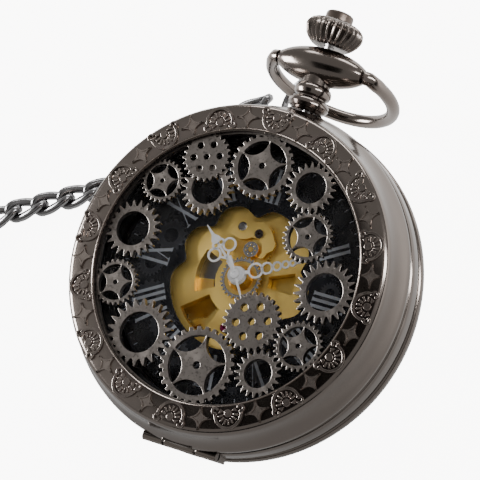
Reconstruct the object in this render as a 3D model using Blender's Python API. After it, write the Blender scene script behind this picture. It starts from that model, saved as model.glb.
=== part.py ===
"""Skeleton pocket watch with a gear-lattice front cover, modelled piece by piece.

The watch is built in its own frame: dial normal along +Z, twelve o'clock along +Y and the
winding stem's axis at Z = 0.  The whole watch hangs on one empty, which leans it back so that
it rests on the lower edge of its case back and on its folded-back bow.
Lengths are metres; MM turns millimetres into metres.
"""
import math

import bmesh
import bpy
from mathutils import Euler, Matrix, Vector

MM = 0.001

# ---------------------------------------------------------------- fits
GAP = 0.3 * MM                # between pieces that seat on each other
FINE = 0.1 * MM               # running clearance inside the movement
LATHE_STEPS = 32              # facets round the case
SMALL_STEPS = 14              # facets round knobs, screws and arbors

# ---------------------------------------------------------------- case
CASE_R = 23.5 * MM            # widest radius of the front cover
BAND_TOP = 1.7 * MM
BAND_BOTTOM = -1.2 * MM
BAND_WALL = 3.0 * MM
COVER_TOP = 7.9 * MM
OPENING_R = 18.42 * MM        # edge of the cover's open front
FLANGE = 0.28 * MM            # thickness of the cover's inner lip
BACK_FACE = -7.1 * MM
BACK_FOOT_R = 18.2 * MM       # outer edge of the flat ring on the back
BACK_WINDOW_R = 15.9 * MM
CRYSTAL_R = 18.4 * MM
CRYSTAL_THICK = 0.8 * MM
CRYSTAL_LOW = 4.8 * MM

# ---------------------------------------------------------------- cover hinge at six o'clock
HINGE_Y = -23.35 * MM
HINGE_Z = 1.87 * MM
KNUCKLE_R = 0.72 * MM
HINGE_LENGTH = 11.0 * MM
COVER_KNUCKLE = 4.4 * MM
HINGE_PIN_R = 0.28 * MM

# ---------------------------------------------------------------- lattice of the front cover
LATTICE_TOP = 7.2 * MM
LATTICE_THICK = 0.9 * MM
LATTICE_RING_R = 18.2 * MM
LATTICE_SEAT_R = 20.3 * MM

# ---------------------------------------------------------------- pendant, crown and bow
STEM_R = 0.6 * MM
STEM_BORE = 0.9 * MM
PENDANT_Y = 30.6 * MM         # axis on which the bow turns
HEAD_R = 2.6 * MM
HEAD_HALF = 6.1 * MM
BOW_WIRE = 0.9 * MM           # radius of the bow's wire
BOW_R = 8.8 * MM
BOW_REACH = 5.6 * MM          # centre of the bow's ring from its pivot
BOW_FOLD = math.radians(101)  # how far the bow is folded back from straight up
BOW_PIN_R = 0.5 * MM
CROWN_Y = 33.5 * MM
CROWN_R = 4.0 * MM
CROWN_TALL = 3.5 * MM
CROWN_FLUTES = 24
BUTTON_R = 1.9 * MM
BUTTON_TOP = 38.5 * MM
BUTTON_TRAVEL = 0.8 * MM
CATCH_HALF = 1.6 * MM
CATCH_THICK = 0.5 * MM
CATCH_Y = 22.0 * MM
CATCH_TOP = 2.75 * MM
LINK_ANGLE = math.radians(-50)  # where the jump ring hangs on the bow
LINK_R = 2.6 * MM
LINK_WIRE = 0.5 * MM

# ---------------------------------------------------------------- movement
PLATE_R = 16.8 * MM
PLATE_TOP = 0.9 * MM
PLATE_BOTTOM = -0.4 * MM
DIAL_TOP = 2.0 * MM
DIAL_THICK = 0.4 * MM
DIAL_R = 17.4 * MM
BRIDGE_TOP = -3.3 * MM
BRIDGE_BOTTOM = -4.0 * MM
PIVOT_R = 0.25 * MM
TOOTH = 0.32 * MM             # depth of the train's teeth

# Places of the movement's axes, seen from the dial side.
CENTRE = (0.0, 0.0)
BARREL = (6.2 * MM, 4.9 * MM)
THIRD = (-0.2 * MM, -6.8 * MM)
FOURTH = (-4.2 * MM, -9.2 * MM)
ESCAPE = (-8.2 * MM, -7.75 * MM)
PALLET = (-10.35 * MM, -4.9 * MM)
BALANCE = (-10.2 * MM, 0.8 * MM)
BALANCE_R = 4.1 * MM
CROWN_WHEEL = (1.4 * MM, 10.9 * MM)
CLICK = (11.6 * MM, 1.4 * MM)
MINUTE_WHEEL = (0.0, 4.05 * MM)

SCREW_SHANK = 0.22 * MM
SCREW_HEAD = 0.62 * MM
KEYLESS_SCREW = (-2.2 * MM, 6.7 * MM)
KEYLESS_PIN = (1.5 * MM, 7.15 * MM)
KEYLESS_JEWEL = (0.4 * MM, 6.3 * MM)
KEYLESS_LOW, KEYLESS_HIGH = 1.5 * MM, 1.85 * MM
JEWEL_BORE = 0.4 * MM

# ---------------------------------------------------------------- hands
HOUR_SEAT = 3.0 * MM
MINUTE_SEAT = 3.55 * MM
SECONDS_SEAT = 4.05 * MM
HAND_THICK = 0.16 * MM
HOUR_ANGLE = math.radians(140.5)
MINUTE_ANGLE = math.radians(26.4)
SECONDS_ANGLE = math.radians(-54)

# ---------------------------------------------------------------- chain
CHAIN_D = 3.6 * MM
COIL_MID_R = 18.5 * MM
COIL_TURNS = 2.5
CLASP_TURN = math.radians(35)
COIL_CENTRE = (-76.5 * MM, -19.0 * MM)
CHAIN_ROUTE = [(-12.3, 22.2), (-14.5, 19.2), (-18.5, 14.7), (-23.0, 9.2), (-27.0, 5.4), (-30.4, 2.6),
               (-36.0, -0.8), (-42.6, -4.9), (-46.6, -9.2), (-48.7, -14.0), (-49.5, -19.0), (-49.6, -23.6)]

WATCH = None


# ================================================================ shop tools
def material(name, colour, metallic, roughness, transmission=0.0):
    mat = bpy.data.materials.new(name)
    mat.use_nodes = True
    shader = mat.node_tree.nodes["Principled BSDF"]
    shader.inputs["Base Color"].default_value = (*colour, 1.0)
    shader.inputs["Metallic"].default_value = metallic
    shader.inputs["Roughness"].default_value = roughness
    shader.inputs["Transmission Weight"].default_value = transmission
    mat.diffuse_color = (*colour, 1.0)
    return mat


def finished(mesh):
    """Weld, point the faces outwards and shade round forms smooth."""
    bm = bmesh.new()
    bm.from_mesh(mesh)
    bmesh.ops.remove_doubles(bm, verts=bm.verts, dist=0.0005 * MM)
    bmesh.ops.dissolve_degenerate(bm, edges=bm.edges, dist=0.0005 * MM)
    bmesh.ops.recalc_face_normals(bm, faces=bm.faces)
    bm.to_mesh(mesh)
    bm.free()
    mesh.shade_smooth()
    mesh.set_sharp_from_angle(angle=math.radians(35))
    return mesh


def place(name, mesh, mat, pivot=(0, 0, 0), parent=None):
    """Make the named piece; its origin goes to the pivot, in the watch's frame."""
    mesh.name = name
    finished(mesh)
    mesh.transform(Matrix.Translation(-Vector(pivot)))
    mesh.materials.clear()
    mesh.materials.append(mat)
    piece = bpy.data.objects.new(name, mesh)
    bpy.context.collection.objects.link(piece)
    piece.parent = parent or WATCH
    piece.location = pivot
    return piece


def lathe(profile, steps=LATHE_STEPS, axis="Z", centre=(0, 0, 0)):
    """Spin a closed (radius, height) outline round an axis through centre."""
    bm = bmesh.new()
    ring = [bm.verts.new((r, 0, h)) for r, h in profile]
    edges = [bm.edges.new((ring[i - 1], ring[i])) for i in range(len(ring))
             if profile[i - 1][0] > 0 or profile[i][0] > 0]
    bmesh.ops.spin(bm, geom=ring + edges, cent=(0, 0, 0), axis=(0, 0, 1), dvec=(0, 0, 0),
                   angle=math.tau, steps=steps, use_merge=True, use_duplicate=False)
    bmesh.ops.remove_doubles(bm, verts=bm.verts, dist=0.0005 * MM)
    turn = {"Z": Matrix.Identity(4), "Y": Matrix.Rotation(math.radians(-90), 4, "X"),
            "X": Matrix.Rotation(math.radians(90), 4, "Y")}[axis]
    bm.transform(Matrix.Translation(centre) @ turn)
    mesh = bpy.data.meshes.new("turned")
    bm.to_mesh(mesh)
    bm.free()
    return finished(mesh)


def rod(radius, low, high, centre=(0, 0), steps=SMALL_STEPS, axis="Z"):
    """A round bar from low to high along an axis; centre holds its other two coordinates."""
    spot = {"Z": (centre[0], centre[1], 0), "Y": (centre[0], 0, centre[1]),
            "X": (0, centre[0], centre[1])}[axis]
    return lathe([(0, high), (radius, high), (radius, low), (0, low)], steps, axis, spot)


def plate(outlines, low, high):
    """A flat piece between two heights; the first outline is its edge, the rest are holes."""
    bm = bmesh.new()
    for outline in outlines:
        ring = [bm.verts.new((x, y, low)) for x, y in outline]
        for i in range(len(ring)):
            bm.edges.new((ring[i - 1], ring[i]))
    bmesh.ops.triangle_fill(bm, edges=bm.edges, use_beauty=True, use_dissolve=False)
    risen = bmesh.ops.extrude_face_region(bm, geom=bm.faces[:])
    top = [part for part in risen["geom"] if isinstance(part, bmesh.types.BMVert)]
    bmesh.ops.translate(bm, verts=top, vec=(0, 0, high - low))
    mesh = bpy.data.meshes.new("plate")
    bm.to_mesh(mesh)
    bm.free()
    return finished(mesh)


def boolean(base, operation, *others):
    """Join or cut one mesh with others and return the new mesh."""
    for other in others:
        work = bpy.data.objects.new("work", base)
        tool = bpy.data.objects.new("tool", other)
        for thing in (work, tool):
            bpy.context.collection.objects.link(thing)
        step = work.modifiers.new("Boolean", "BOOLEAN")
        step.operation = operation
        step.solver = "EXACT"
        step.object = tool
        shape = work.evaluated_get(bpy.context.evaluated_depsgraph_get())
        base = finished(bpy.data.meshes.new_from_object(shape))
        for thing in (work, tool):
            bpy.data.objects.remove(thing)
    return base


def join(base, *others):
    return boolean(base, "UNION", *others)


def cut(base, *others):
    return boolean(base, "DIFFERENCE", *others)


def move(mesh, x=0.0, y=0.0, z=0.0, turn=0.0):
    mesh.transform(Matrix.Translation((x, y, z)) @ Matrix.Rotation(turn, 4, "Z"))
    return mesh


# ================================================================ outlines
def polar(radius, angle, centre=(0, 0)):
    return (centre[0] + radius * math.cos(angle), centre[1] + radius * math.sin(angle))


def circle(radius, centre=(0, 0), steps=SMALL_STEPS):
    return [polar(radius, math.tau * i / steps, centre) for i in range(steps)]


def toothed(tip, root, teeth, aim=0.0, crest=0.0, centre=(0, 0)):
    """Gear outline with one tooth pointing along aim; crest is the tooth's flat share of a pitch."""
    pitch = math.tau / teeth
    line = []
    for i in range(teeth):
        mid = aim + i * pitch
        if crest > 0:
            line.append(polar(tip, mid - crest * pitch / 2, centre))
            line.append(polar(tip, mid + crest * pitch / 2, centre))
            line.append(polar(root, mid + crest * pitch * 0.7, centre))
            line.append(polar(root, mid + pitch * (1 - crest * 0.7), centre))
        else:
            line.append(polar(tip, mid, centre))
            line.append(polar(root, mid + pitch / 2, centre))
    return line


def lens(outer, inner, middle, spread, centre=(0, 0), steps=3):
    """A lens-shaped cut between an outer arc and a shallow arc bulging towards the hub."""
    line = [polar(outer, middle - spread + 2 * spread * i / steps, centre) for i in range(steps + 1)]
    for i in range(1, steps):
        share = i / steps
        sink = math.sin(math.pi * share)
        radius = outer * math.cos(spread) / math.cos(spread * (1 - 2 * share))
        radius = radius - (radius - inner) * sink
        line.append(polar(radius, middle + spread - 2 * spread * share, centre))
    return line


def arc_slot(inner, outer, start, end, centre=(0, 0), steps=4):
    """A curved window between two radii, its corners left as drawn."""
    there = [polar(outer, start + (end - start) * i / steps, centre) for i in range(steps + 1)]
    back = [polar(inner, end + (start - end) * i / steps, centre) for i in range(steps + 1)]
    return there + back


def smooth_route(points, samples):
    """Points along a smooth curve that passes through the route's own points."""
    def between(p0, p1, p2, p3, t):
        return tuple(0.5 * (2 * b + (c - a) * t + (2 * a - 5 * b + 4 * c - d) * t * t
                            + (3 * b - a - 3 * c + d) * t ** 3)
                     for a, b, c, d in zip(p0, p1, p2, p3))
    ends = [points[0], *points, points[-1]]
    line = []
    for i in range(1, len(points)):
        for k in range(samples):
            line.append(between(ends[i - 1], ends[i], ends[i + 1], ends[min(i + 2, len(ends) - 1)],
                                k / samples))
    return line + [points[-1]]


def wire(route, radius, resolution=2):
    """A round wire along a list of points, as one closed mesh with filled ends."""
    curve = bpy.data.curves.new("wire", "CURVE")
    curve.dimensions = "3D"
    curve.bevel_depth = radius
    curve.bevel_resolution = resolution
    curve.use_fill_caps = True
    line = curve.splines.new("POLY")
    line.points.add(len(route) - 1)
    for knot, point in zip(line.points, route):
        knot.co = (*point, 1.0)
    work = bpy.data.objects.new("wire", curve)
    bpy.context.collection.objects.link(work)
    mesh = bpy.data.meshes.new_from_object(work.evaluated_get(bpy.context.evaluated_depsgraph_get()))
    bpy.data.objects.remove(work)
    return finished(mesh)


# ================================================================ case
def case_band(metal):
    outer = CASE_R
    profile = [(outer - BAND_WALL, BAND_TOP), (outer - GAP, BAND_TOP), (outer, BAND_TOP - GAP),
               (outer + 0.1 * MM, 0.2 * MM), (outer + 0.1 * MM, BAND_BOTTOM + GAP),
               (outer - 0.1 * MM, BAND_BOTTOM), (outer - BAND_WALL, BAND_BOTTOM)]
    band = lathe(profile)
    for side in (-1, 1):
        near = side * (COVER_KNUCKLE / 2 + GAP)
        far = side * HINGE_LENGTH / 2
        lug = rod(KNUCKLE_R, min(near, far), max(near, far), (HINGE_Y, HINGE_Z), SMALL_STEPS, "X")
        foot = box(min(near, far), max(near, far), HINGE_Y - 0.5 * MM, HINGE_Y + 0.9 * MM,
                   BAND_BOTTOM + GAP, HINGE_Z - 0.15 * MM)
        band = join(band, foot, lug)
    room = rod(KNUCKLE_R + GAP, -COVER_KNUCKLE / 2 - GAP, COVER_KNUCKLE / 2 + GAP, (HINGE_Y, HINGE_Z),
               SMALL_STEPS, "X")
    bore = rod(HINGE_PIN_R + FINE, -HINGE_LENGTH, HINGE_LENGTH, (HINGE_Y, HINGE_Z), 10, "X")
    stem_hole = rod(STEM_BORE, outer - 2 * BAND_WALL, outer + BAND_WALL, (0, 0), SMALL_STEPS, "Y")
    catch_slot = box(-CATCH_HALF - GAP, CATCH_HALF + GAP, CATCH_Y - CATCH_THICK - BUTTON_TRAVEL - GAP,
                     CATCH_Y + GAP, STEM_R + GAP, BAND_TOP + GAP)
    return place("case_band", cut(band, room, bore, stem_hole, catch_slot), metal)


def box(x0, x1, y0, y1, z0, z1):
    return plate([[(x0, y0), (x1, y0), (x1, y1), (x0, y1)]], z0, z1)


def back_cover(metal):
    top = BAND_BOTTOM - GAP
    foot, window = BACK_FOOT_R, BACK_WINDOW_R
    profile = [(21.0 * MM, top), (CASE_R, top), (CASE_R + 0.3 * MM, top - 0.4 * MM),
               (CASE_R + 0.15 * MM, -2.9 * MM), (22.9 * MM, -4.4 * MM), (21.4 * MM, -5.8 * MM),
               (19.6 * MM, -6.8 * MM), (foot, BACK_FACE), (window, BACK_FACE),
               (window, BACK_FACE + 0.8 * MM), (window + 1.4 * MM, BACK_FACE + 0.8 * MM),
               (window + 1.4 * MM, BACK_FACE + 1.8 * MM), (20.2 * MM, -3.6 * MM)]
    return place("back_cover", lathe(profile), metal)


def crystals(glass):
    low = CRYSTAL_LOW
    rise = 0.25 * MM
    front = [(0, low + CRYSTAL_THICK + rise), (CRYSTAL_R * 0.6, low + CRYSTAL_THICK + rise * 0.6),
             (CRYSTAL_R, low + CRYSTAL_THICK), (CRYSTAL_R, low), (0, low)]
    place("front_crystal", lathe(front), glass)
    under = BACK_FACE + 0.8 * MM + GAP
    edge = BACK_WINDOW_R + 1.4 * MM - GAP
    place("back_crystal", rod(edge, under, under + 0.7 * MM, steps=LATHE_STEPS), glass)


def crystal_bezel(metal):
    foot = BAND_TOP + GAP
    ledge = CRYSTAL_LOW - GAP
    profile = [(CRYSTAL_R + GAP, CRYSTAL_LOW + CRYSTAL_THICK), (CRYSTAL_R + 1.0 * MM, 5.6 * MM),
               (20.6 * MM, 4.6 * MM), (21.4 * MM, 3.2 * MM), (21.4 * MM, foot), (17.8 * MM, foot),
               (17.8 * MM, ledge), (CRYSTAL_R + GAP, ledge)]
    catch_room = box(-CATCH_HALF - GAP, CATCH_HALF + GAP, CATCH_Y - CATCH_THICK - BUTTON_TRAVEL - GAP,
                     CASE_R, 0, CATCH_TOP + GAP)
    return place("crystal_bezel", cut(lathe(profile), catch_room), metal)


# ================================================================ front cover
COVER_RECESS_R = LATTICE_SEAT_R + GAP


def cover_rim(metal, hinge):
    """Turned cover ring: flat top, rolled shoulder, hollow polished slope and a thin edge."""
    low = BAND_TOP + 0.35 * MM
    shelf = COVER_TOP - FLANGE
    profile = [(OPENING_R, COVER_TOP), (21.1 * MM, COVER_TOP), (21.9 * MM, 7.55 * MM),
               (22.25 * MM, 7.0 * MM), (22.45 * MM, 5.8 * MM), (22.85 * MM, 4.2 * MM),
               (CASE_R, 2.95 * MM), (CASE_R, low + 0.25 * MM), (CASE_R - 0.3 * MM, low),
               (22.3 * MM, low), (21.95 * MM, 3.6 * MM), (21.5 * MM, 5.6 * MM),
               (COVER_RECESS_R, 6.3 * MM), (COVER_RECESS_R, shelf), (OPENING_R, shelf)]
    rim = lathe(profile)
    relief = rod(KNUCKLE_R + GAP, -HINGE_LENGTH / 2 - GAP, HINGE_LENGTH / 2 + GAP, (HINGE_Y, HINGE_Z),
                 SMALL_STEPS, "X")
    rim = cut(rim, relief)
    half = COVER_KNUCKLE / 2
    knuckle = rod(KNUCKLE_R, -half, half, (HINGE_Y, HINGE_Z), SMALL_STEPS, "X")
    arm = box(-half, half, HINGE_Y - 0.1 * MM, HINGE_Y + 1.0 * MM, HINGE_Z + 0.2 * MM, HINGE_Z + 1.6 * MM)
    rim = join(rim, arm, knuckle)
    bore = rod(HINGE_PIN_R + FINE, -HINGE_LENGTH, HINGE_LENGTH, (HINGE_Y, HINGE_Z), 10, "X")
    notch = box(-CATCH_HALF, CATCH_HALF, CATCH_Y - MM, CATCH_Y + 0.7 * MM, BAND_TOP, 3.1 * MM)
    return place("cover_rim", cut(rim, bore, notch), metal, hinge)


# Style, centre (mm), tip radius (mm), teeth, direction of one tooth (degrees) and height step (mm).
LATTICE_GEARS = [
    ("disc", -8.0, 13.4, 3.35, 20, 120, 0.20),
    ("star", -13.0, 8.8, 2.95, 20, 146, 0.03),
    ("ring", -6.55, 9.5, 3.7, 20, 90, -0.12),
    ("cog", -0.1, 14.2, 4.4, 20, 90, 0.00),
    ("ring", 7.55, 13.05, 3.5, 20, -73.6, 0.05),
    ("star", 9.4, 6.75, 3.45, 20, 106.4, 0.00),
    ("ring", 14.15, 0.45, 4.2, 22, 2, 0.03),
    ("disc", 5.95, -5.85, 4.0, 22, -62.3, 0.05),
    ("star", 13.2, -7.2, 3.35, 20, -28, 0.00),
    ("ring", 9.2, -12.05, 3.2, 18, 117.7, 0.02),
    ("cog", 0.7, -13.3, 5.2, 22, -86, 0.04),
    ("ring", -8.7, -11.35, 4.6, 22, -127, 0.01),
    ("star", -14.4, -5.9, 3.15, 20, -158, 0.05),
    ("ring", -14.7, 1.6, 3.9, 22, 174, 0.02),
]


def lattice_gear(style, x, y, tip, teeth, aim, step):
    """One gear of the cover: an open ring, a drilled disc, or a five-spoke star."""
    centre = (x * MM, y * MM)
    tip, aim = tip * MM, math.radians(aim)
    top = LATTICE_TOP + step * MM
    depth = {"ring": 0.21, "disc": 0.17, "cog": 0.10, "star": 0.12}[style] * tip
    crest = {"ring": 0.0, "disc": 0.0, "cog": 0.4, "star": 0.0}[style]
    outline = toothed(tip, tip - depth, teeth, aim, crest, centre)
    if style == "ring":
        holes = [circle(0.62 * tip, centre, 14)]
    elif style == "disc":
        holes = [circle(0.14 * tip, polar(0.52 * tip, math.tau * i / 6 + 0.3, centre), 6) for i in range(6)]
        holes.append(circle(0.13 * tip, centre, 6))
    else:
        fifth = math.tau / 5
        holes = [lens(0.76 * tip, 0.43 * tip, math.pi / 2 + fifth * (i + 0.5), 0.47 * fifth, centre)
                 for i in range(5)]
        holes.append(circle(0.11 * tip, centre, 6))
    return plate([outline, *holes], top - LATTICE_THICK, top)


def gear_grille(metal, hinge):
    """The gears fused where they meet, held by a thin ring that seats under the cover's lip."""
    low = LATTICE_TOP - LATTICE_THICK + 0.1 * MM
    grille = plate([circle(LATTICE_SEAT_R, steps=LATHE_STEPS), circle(LATTICE_RING_R, steps=LATHE_STEPS)],
                   low, LATTICE_TOP - 0.03 * MM)
    for gear in LATTICE_GEARS:
        grille = join(grille, lattice_gear(*gear))
    return place("gear_grille", grille, metal, hinge)


def hinge_pin(metal):
    half = HINGE_LENGTH / 2 - 0.1 * MM
    return place("cover_hinge_pin", rod(HINGE_PIN_R, -half, half, (HINGE_Y, HINGE_Z), 8, "X"), metal)


def cover_catch(metal):
    """Spring catch behind twelve o'clock: a leaf with a hook that holds the cover's lip."""
    leaf = box(-CATCH_HALF, CATCH_HALF, CATCH_Y - CATCH_THICK, CATCH_Y, STEM_R + 2 * GAP, CATCH_TOP)
    hook = box(-CATCH_HALF + 0.2 * MM, CATCH_HALF - 0.2 * MM, CATCH_Y - 0.1 * MM, CATCH_Y + 0.2 * MM,
               CATCH_TOP - 0.35 * MM, CATCH_TOP - 0.02 * MM)
    return place("cover_catch", join(leaf, hook), metal, (0, CATCH_Y, BAND_TOP))


# ================================================================ pendant, bow, crown
def pendant(metal):
    """Ringed neck and barrel head in one casting, bored for the stem and the bow's pins."""
    foot = CASE_R + 0.1 * MM + GAP
    neck = [(0, PENDANT_Y), (1.7 * MM, PENDANT_Y), (1.7 * MM, foot + 3.9 * MM), (2.3 * MM, foot + 3.6 * MM),
            (2.5 * MM, foot + 3.1 * MM), (2.3 * MM, foot + 2.5 * MM), (1.8 * MM, foot + 2.2 * MM),
            (2.5 * MM, foot + 1.9 * MM), (2.75 * MM, foot + 1.3 * MM), (2.5 * MM, foot + 0.6 * MM),
            (2.0 * MM, foot + 0.4 * MM), (2.4 * MM, foot), (0, foot)]
    head = [(0, HEAD_HALF), (1.25 * MM, HEAD_HALF)]
    rounds = 4
    for i in range(-rounds, rounds + 1):
        share = -i / rounds
        head.append((HEAD_R * math.sqrt(1 - (0.85 * share) ** 2) * (1 - 0.08 * share ** 2),
                     share * 0.95 * HEAD_HALF))
    head += [(1.25 * MM, -HEAD_HALF), (0, -HEAD_HALF)]
    body = join(lathe(neck, SMALL_STEPS, "Y"), lathe(head, SMALL_STEPS, "X", (0, PENDANT_Y, 0)))
    bore = rod(STEM_BORE, foot - GAP, PENDANT_Y + 2 * HEAD_R, (0, 0), 12, "Y")
    seat = 1.6 * MM
    pin_holes = [rod(BOW_PIN_R + FINE, min(side * (HEAD_HALF - seat), side * 9 * MM),
                     max(side * (HEAD_HALF - seat), side * 9 * MM), (PENDANT_Y, 0), 12, "X")
                 for side in (-1, 1)]
    return place("pendant", cut(body, bore, *pin_holes), metal)


def bow_point(angle, reach=0.0):
    """A point of the bow's ring in its own plane; angle 0 is its far end."""
    return ((BOW_R + reach) * math.sin(angle), BOW_REACH + (BOW_R + reach) * math.cos(angle))


def fold(x, out, aside=0.0):
    """From the bow's plane (x, distance from the pivot, sideways) to the watch's frame."""
    c, s = math.cos(BOW_FOLD), math.sin(BOW_FOLD)
    return (x, PENDANT_Y + out * c + aside * s, -out * s + aside * c)


def bow(metal):
    start = HEAD_HALF + GAP
    bend = math.radians(122)
    half = [(start, 0.0), (start + 0.75 * MM, 0.2 * MM)]
    arc_steps = 18
    arc = [bow_point(bend - 2 * bend * i / arc_steps) for i in range(arc_steps + 1)]
    route = half + arc + [(-x, out) for x, out in reversed(half)]
    mesh = wire([fold(x, out) for x, out in route], BOW_WIRE)
    inner = HEAD_HALF - 1.4 * MM
    for side in (-1, 1):
        ends = sorted((side * inner, side * (start + 0.4 * MM)))
        mesh = join(mesh, rod(BOW_PIN_R, *ends, (PENDANT_Y, 0), 8, "X"))
    return place("bow", mesh, metal, (0, PENDANT_Y, 0))


def bow_link(metal):
    """The chain's jump ring, threaded on the bow; its plane crosses the bow's wire squarely."""
    offset = LINK_R - LINK_WIRE - BOW_WIRE - GAP
    steps = 20
    ring = lathe([(LINK_R + LINK_WIRE * math.cos(a), LINK_WIRE * math.sin(a))
                  for a in (-math.tau * i / 8 for i in range(8))], steps)
    x, out = bow_point(LINK_ANGLE, offset)
    centre = Vector(fold(x, out))
    radial = (centre - Vector(fold(0, BOW_REACH))).normalized()
    aside = (Vector(fold(0, 0, 1)) - Vector(fold(0, 0, 0))).normalized()
    normal = radial.cross(aside)
    frame = Matrix((radial, aside, normal)).transposed().to_4x4()
    ring.transform(Matrix.Translation(centre) @ frame)
    return place("bow_link", ring, metal, (0, PENDANT_Y, 0))


def crown(metal):
    """Onion crown: a fluted, rounded knob with a recess for the push button."""
    bm = bmesh.new()
    per_flute = 2
    steps = CROWN_FLUTES * per_flute
    rows = [(0.74, 0.0, 0.0), (0.88, 0.10, 0.5), (0.99, 0.36, 1.0), (0.99, 0.58, 1.0), (0.84, 0.86, 0.8),
            (0.64, 1.0, 0.2)]
    hollow = (BUTTON_R + GAP) / CROWN_R
    rows += [(hollow, 1.0, 0.0), (hollow, 0.35, 0.0)]
    rings = []
    for share, height, groove in rows:
        ring = []
        for i in range(steps):
            radius = share * CROWN_R - (0.32 * MM * groove if i % per_flute else 0)
            x, z = polar(radius, math.tau * i / steps)
            ring.append(bm.verts.new((x, CROWN_Y + height * CROWN_TALL, z)))
        rings.append(ring)
    for low, high in zip(rings, rings[1:]):
        for i in range(steps):
            bm.faces.new((low[i - 1], low[i], high[i], high[i - 1]))
    bm.faces.new(rings[0])
    bm.faces.new(rings[-1])
    mesh = bpy.data.meshes.new("crown")
    bm.to_mesh(mesh)
    bm.free()
    socket = rod(STEM_R + FINE, CROWN_Y - MM, CROWN_Y + 2 * CROWN_TALL, (0, 0), 8, "Y")
    return place("crown", cut(finished(mesh), socket), metal, (0, CROWN_Y, 0))


def winding_stem(steel):
    """Stem with its winding pinion; it turns with the crown."""
    tip = 11.7 * MM
    stem = rod(STEM_R, tip - 0.8 * MM, CROWN_Y + 0.3 * CROWN_TALL, (0, 0), 8, "Y")
    pinion = plate([toothed(1.1 * MM, 0.8 * MM, 12)], 0, 1.3 * MM)
    pinion.transform(Matrix.Translation((0, tip + 1.3 * MM, 0)) @ Matrix.Rotation(math.radians(90), 4, "X"))
    return place("winding_stem", join(stem, pinion), steel, (0, CROWN_Y, 0))


def crown_button(metal):
    low = CROWN_Y + 0.35 * CROWN_TALL + BUTTON_TRAVEL + GAP
    round_off = 0.25 * MM
    profile = [(0, BUTTON_TOP), (BUTTON_R - 2 * round_off, BUTTON_TOP), (BUTTON_R, BUTTON_TOP - round_off),
               (BUTTON_R, low), (0, low)]
    return place("crown_button", lathe(profile, SMALL_STEPS, "Y"), metal, (0, BUTTON_TOP, 0))


# ================================================================ dial and motion work
def dial_opening():
    """Scalloped window in the dial: a round with shallow notches between its lobes."""
    notches = [math.radians(a) for a in (95, 137, 177, 20, -28, -70)]
    line = []
    steps = 60
    for i in range(steps):
        angle = math.tau * i / steps
        radius = 9.9 * MM
        for notch in notches:
            off = (angle - notch + math.pi) % math.tau - math.pi
            radius -= 1.9 * MM * math.exp(-(off / math.radians(9)) ** 2)
        line.append(polar(radius, angle))
    return line


def dial(paint):
    ring = [circle(DIAL_R, steps=LATHE_STEPS), dial_opening()]
    return place("dial", plate(ring, DIAL_TOP - DIAL_THICK, DIAL_TOP), paint)


def movement_ring(metal):
    inner = PLATE_R + GAP
    outer = CASE_R - BAND_WALL - GAP
    top = DIAL_TOP - DIAL_THICK - GAP
    low = BRIDGE_TOP
    ring = lathe([(inner, top), (outer, top), (outer, low), (inner, low)])
    stem_hole = rod(STEM_BORE, 0, 2 * CASE_R, (0, 0), 12, "Y")
    return place("movement_ring", cut(ring, stem_hole), metal)


def kidney(inner, outer, start, end):
    return arc_slot(inner * MM, outer * MM, math.radians(start), math.radians(end))


def main_plate(gold):
    """Brass plate with kidney windows, pivot holes and the slot for the winding work."""
    holes = [kidney(4.0, 6.9, 157, 208), kidney(5.0, 9.3, 218, 249), kidney(3.6, 7.3, -2, 22)]
    holes += [circle(PIVOT_R + FINE, spot, 8) for spot in (THIRD, FOURTH, ESCAPE, PALLET, BALANCE)]
    holes.append(circle(0.95 * MM, CENTRE, 12))
    holes.append(circle(PIVOT_R + FINE, BARREL, 8))
    holes.append(circle(SCREW_SHANK + FINE, KEYLESS_SCREW, 8))
    body = plate([circle(PLATE_R, steps=LATHE_STEPS), *holes], PLATE_BOTTOM, PLATE_TOP)
    slot = box(-1.4 * MM, 1.4 * MM, 10.6 * MM, 1.2 * PLATE_R, PLATE_BOTTOM - MM, PLATE_TOP + MM)
    return place("main_plate", cut(body, slot), gold)


def screw(name, spot, seat, down, steel):
    """Slotted screw; down is -1 when it points to the case back side, +1 when it points up."""
    head = 0.28 * MM
    face = seat - down * (FINE + head)
    shank = seat + down * 1.3 * MM
    low, high = sorted((face, seat - down * FINE))
    body = rod(SCREW_HEAD, low, high, spot, 12)
    low, high = sorted((seat - down * (FINE + head / 2), shank))
    body = join(body, rod(SCREW_SHANK, low, high, spot, 8))
    half = 0.08 * MM
    deep = sorted((face - down * MM, face + down * 0.12 * MM))
    slot = box(spot[0] - MM, spot[0] + MM, spot[1] - half, spot[1] + half, *deep)
    return place(name, cut(body, slot), steel)


def keyless_bridge(gold):
    """Raised bridge with an S-shaped edge that covers the setting work beside the minute wheel."""
    low, high = KEYLESS_LOW, KEYLESS_HIGH
    outline = [(-3.6, 5.4), (-3.3, 6.5), (-2.6, 7.4), (-1.7, 7.9), (-0.6, 7.7), (0.4, 8.0), (1.4, 7.6),
               (2.3, 6.7), (3.1, 5.5), (3.0, 4.7), (2.3, 4.1), (2.0, 3.3), (1.35, 3.2), (1.6, 4.1),
               (1.3, 5.0), (0.6, 5.6), (-0.4, 5.65), (-1.2, 5.2), (-2.0, 5.0)]
    outline = [(x * MM, y * MM) for x, y in outline]
    body = plate([outline, circle(JEWEL_BORE, KEYLESS_JEWEL, 10)], low, high)
    feet = [rod(0.5 * MM, PLATE_TOP + FINE, low + FINE, spot, 10) for spot in (KEYLESS_SCREW, KEYLESS_PIN)]
    body = join(body, *feet)
    drill = rod(SCREW_SHANK + FINE, 0, 3 * MM, KEYLESS_SCREW, 8)
    return place("keyless_bridge", cut(body, drill), gold)


HOUR_WHEEL_R = 2.95 * MM
HOUR_WHEEL_LOW = 1.5 * MM
MINUTE_DISC_R = 1.0 * MM


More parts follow.
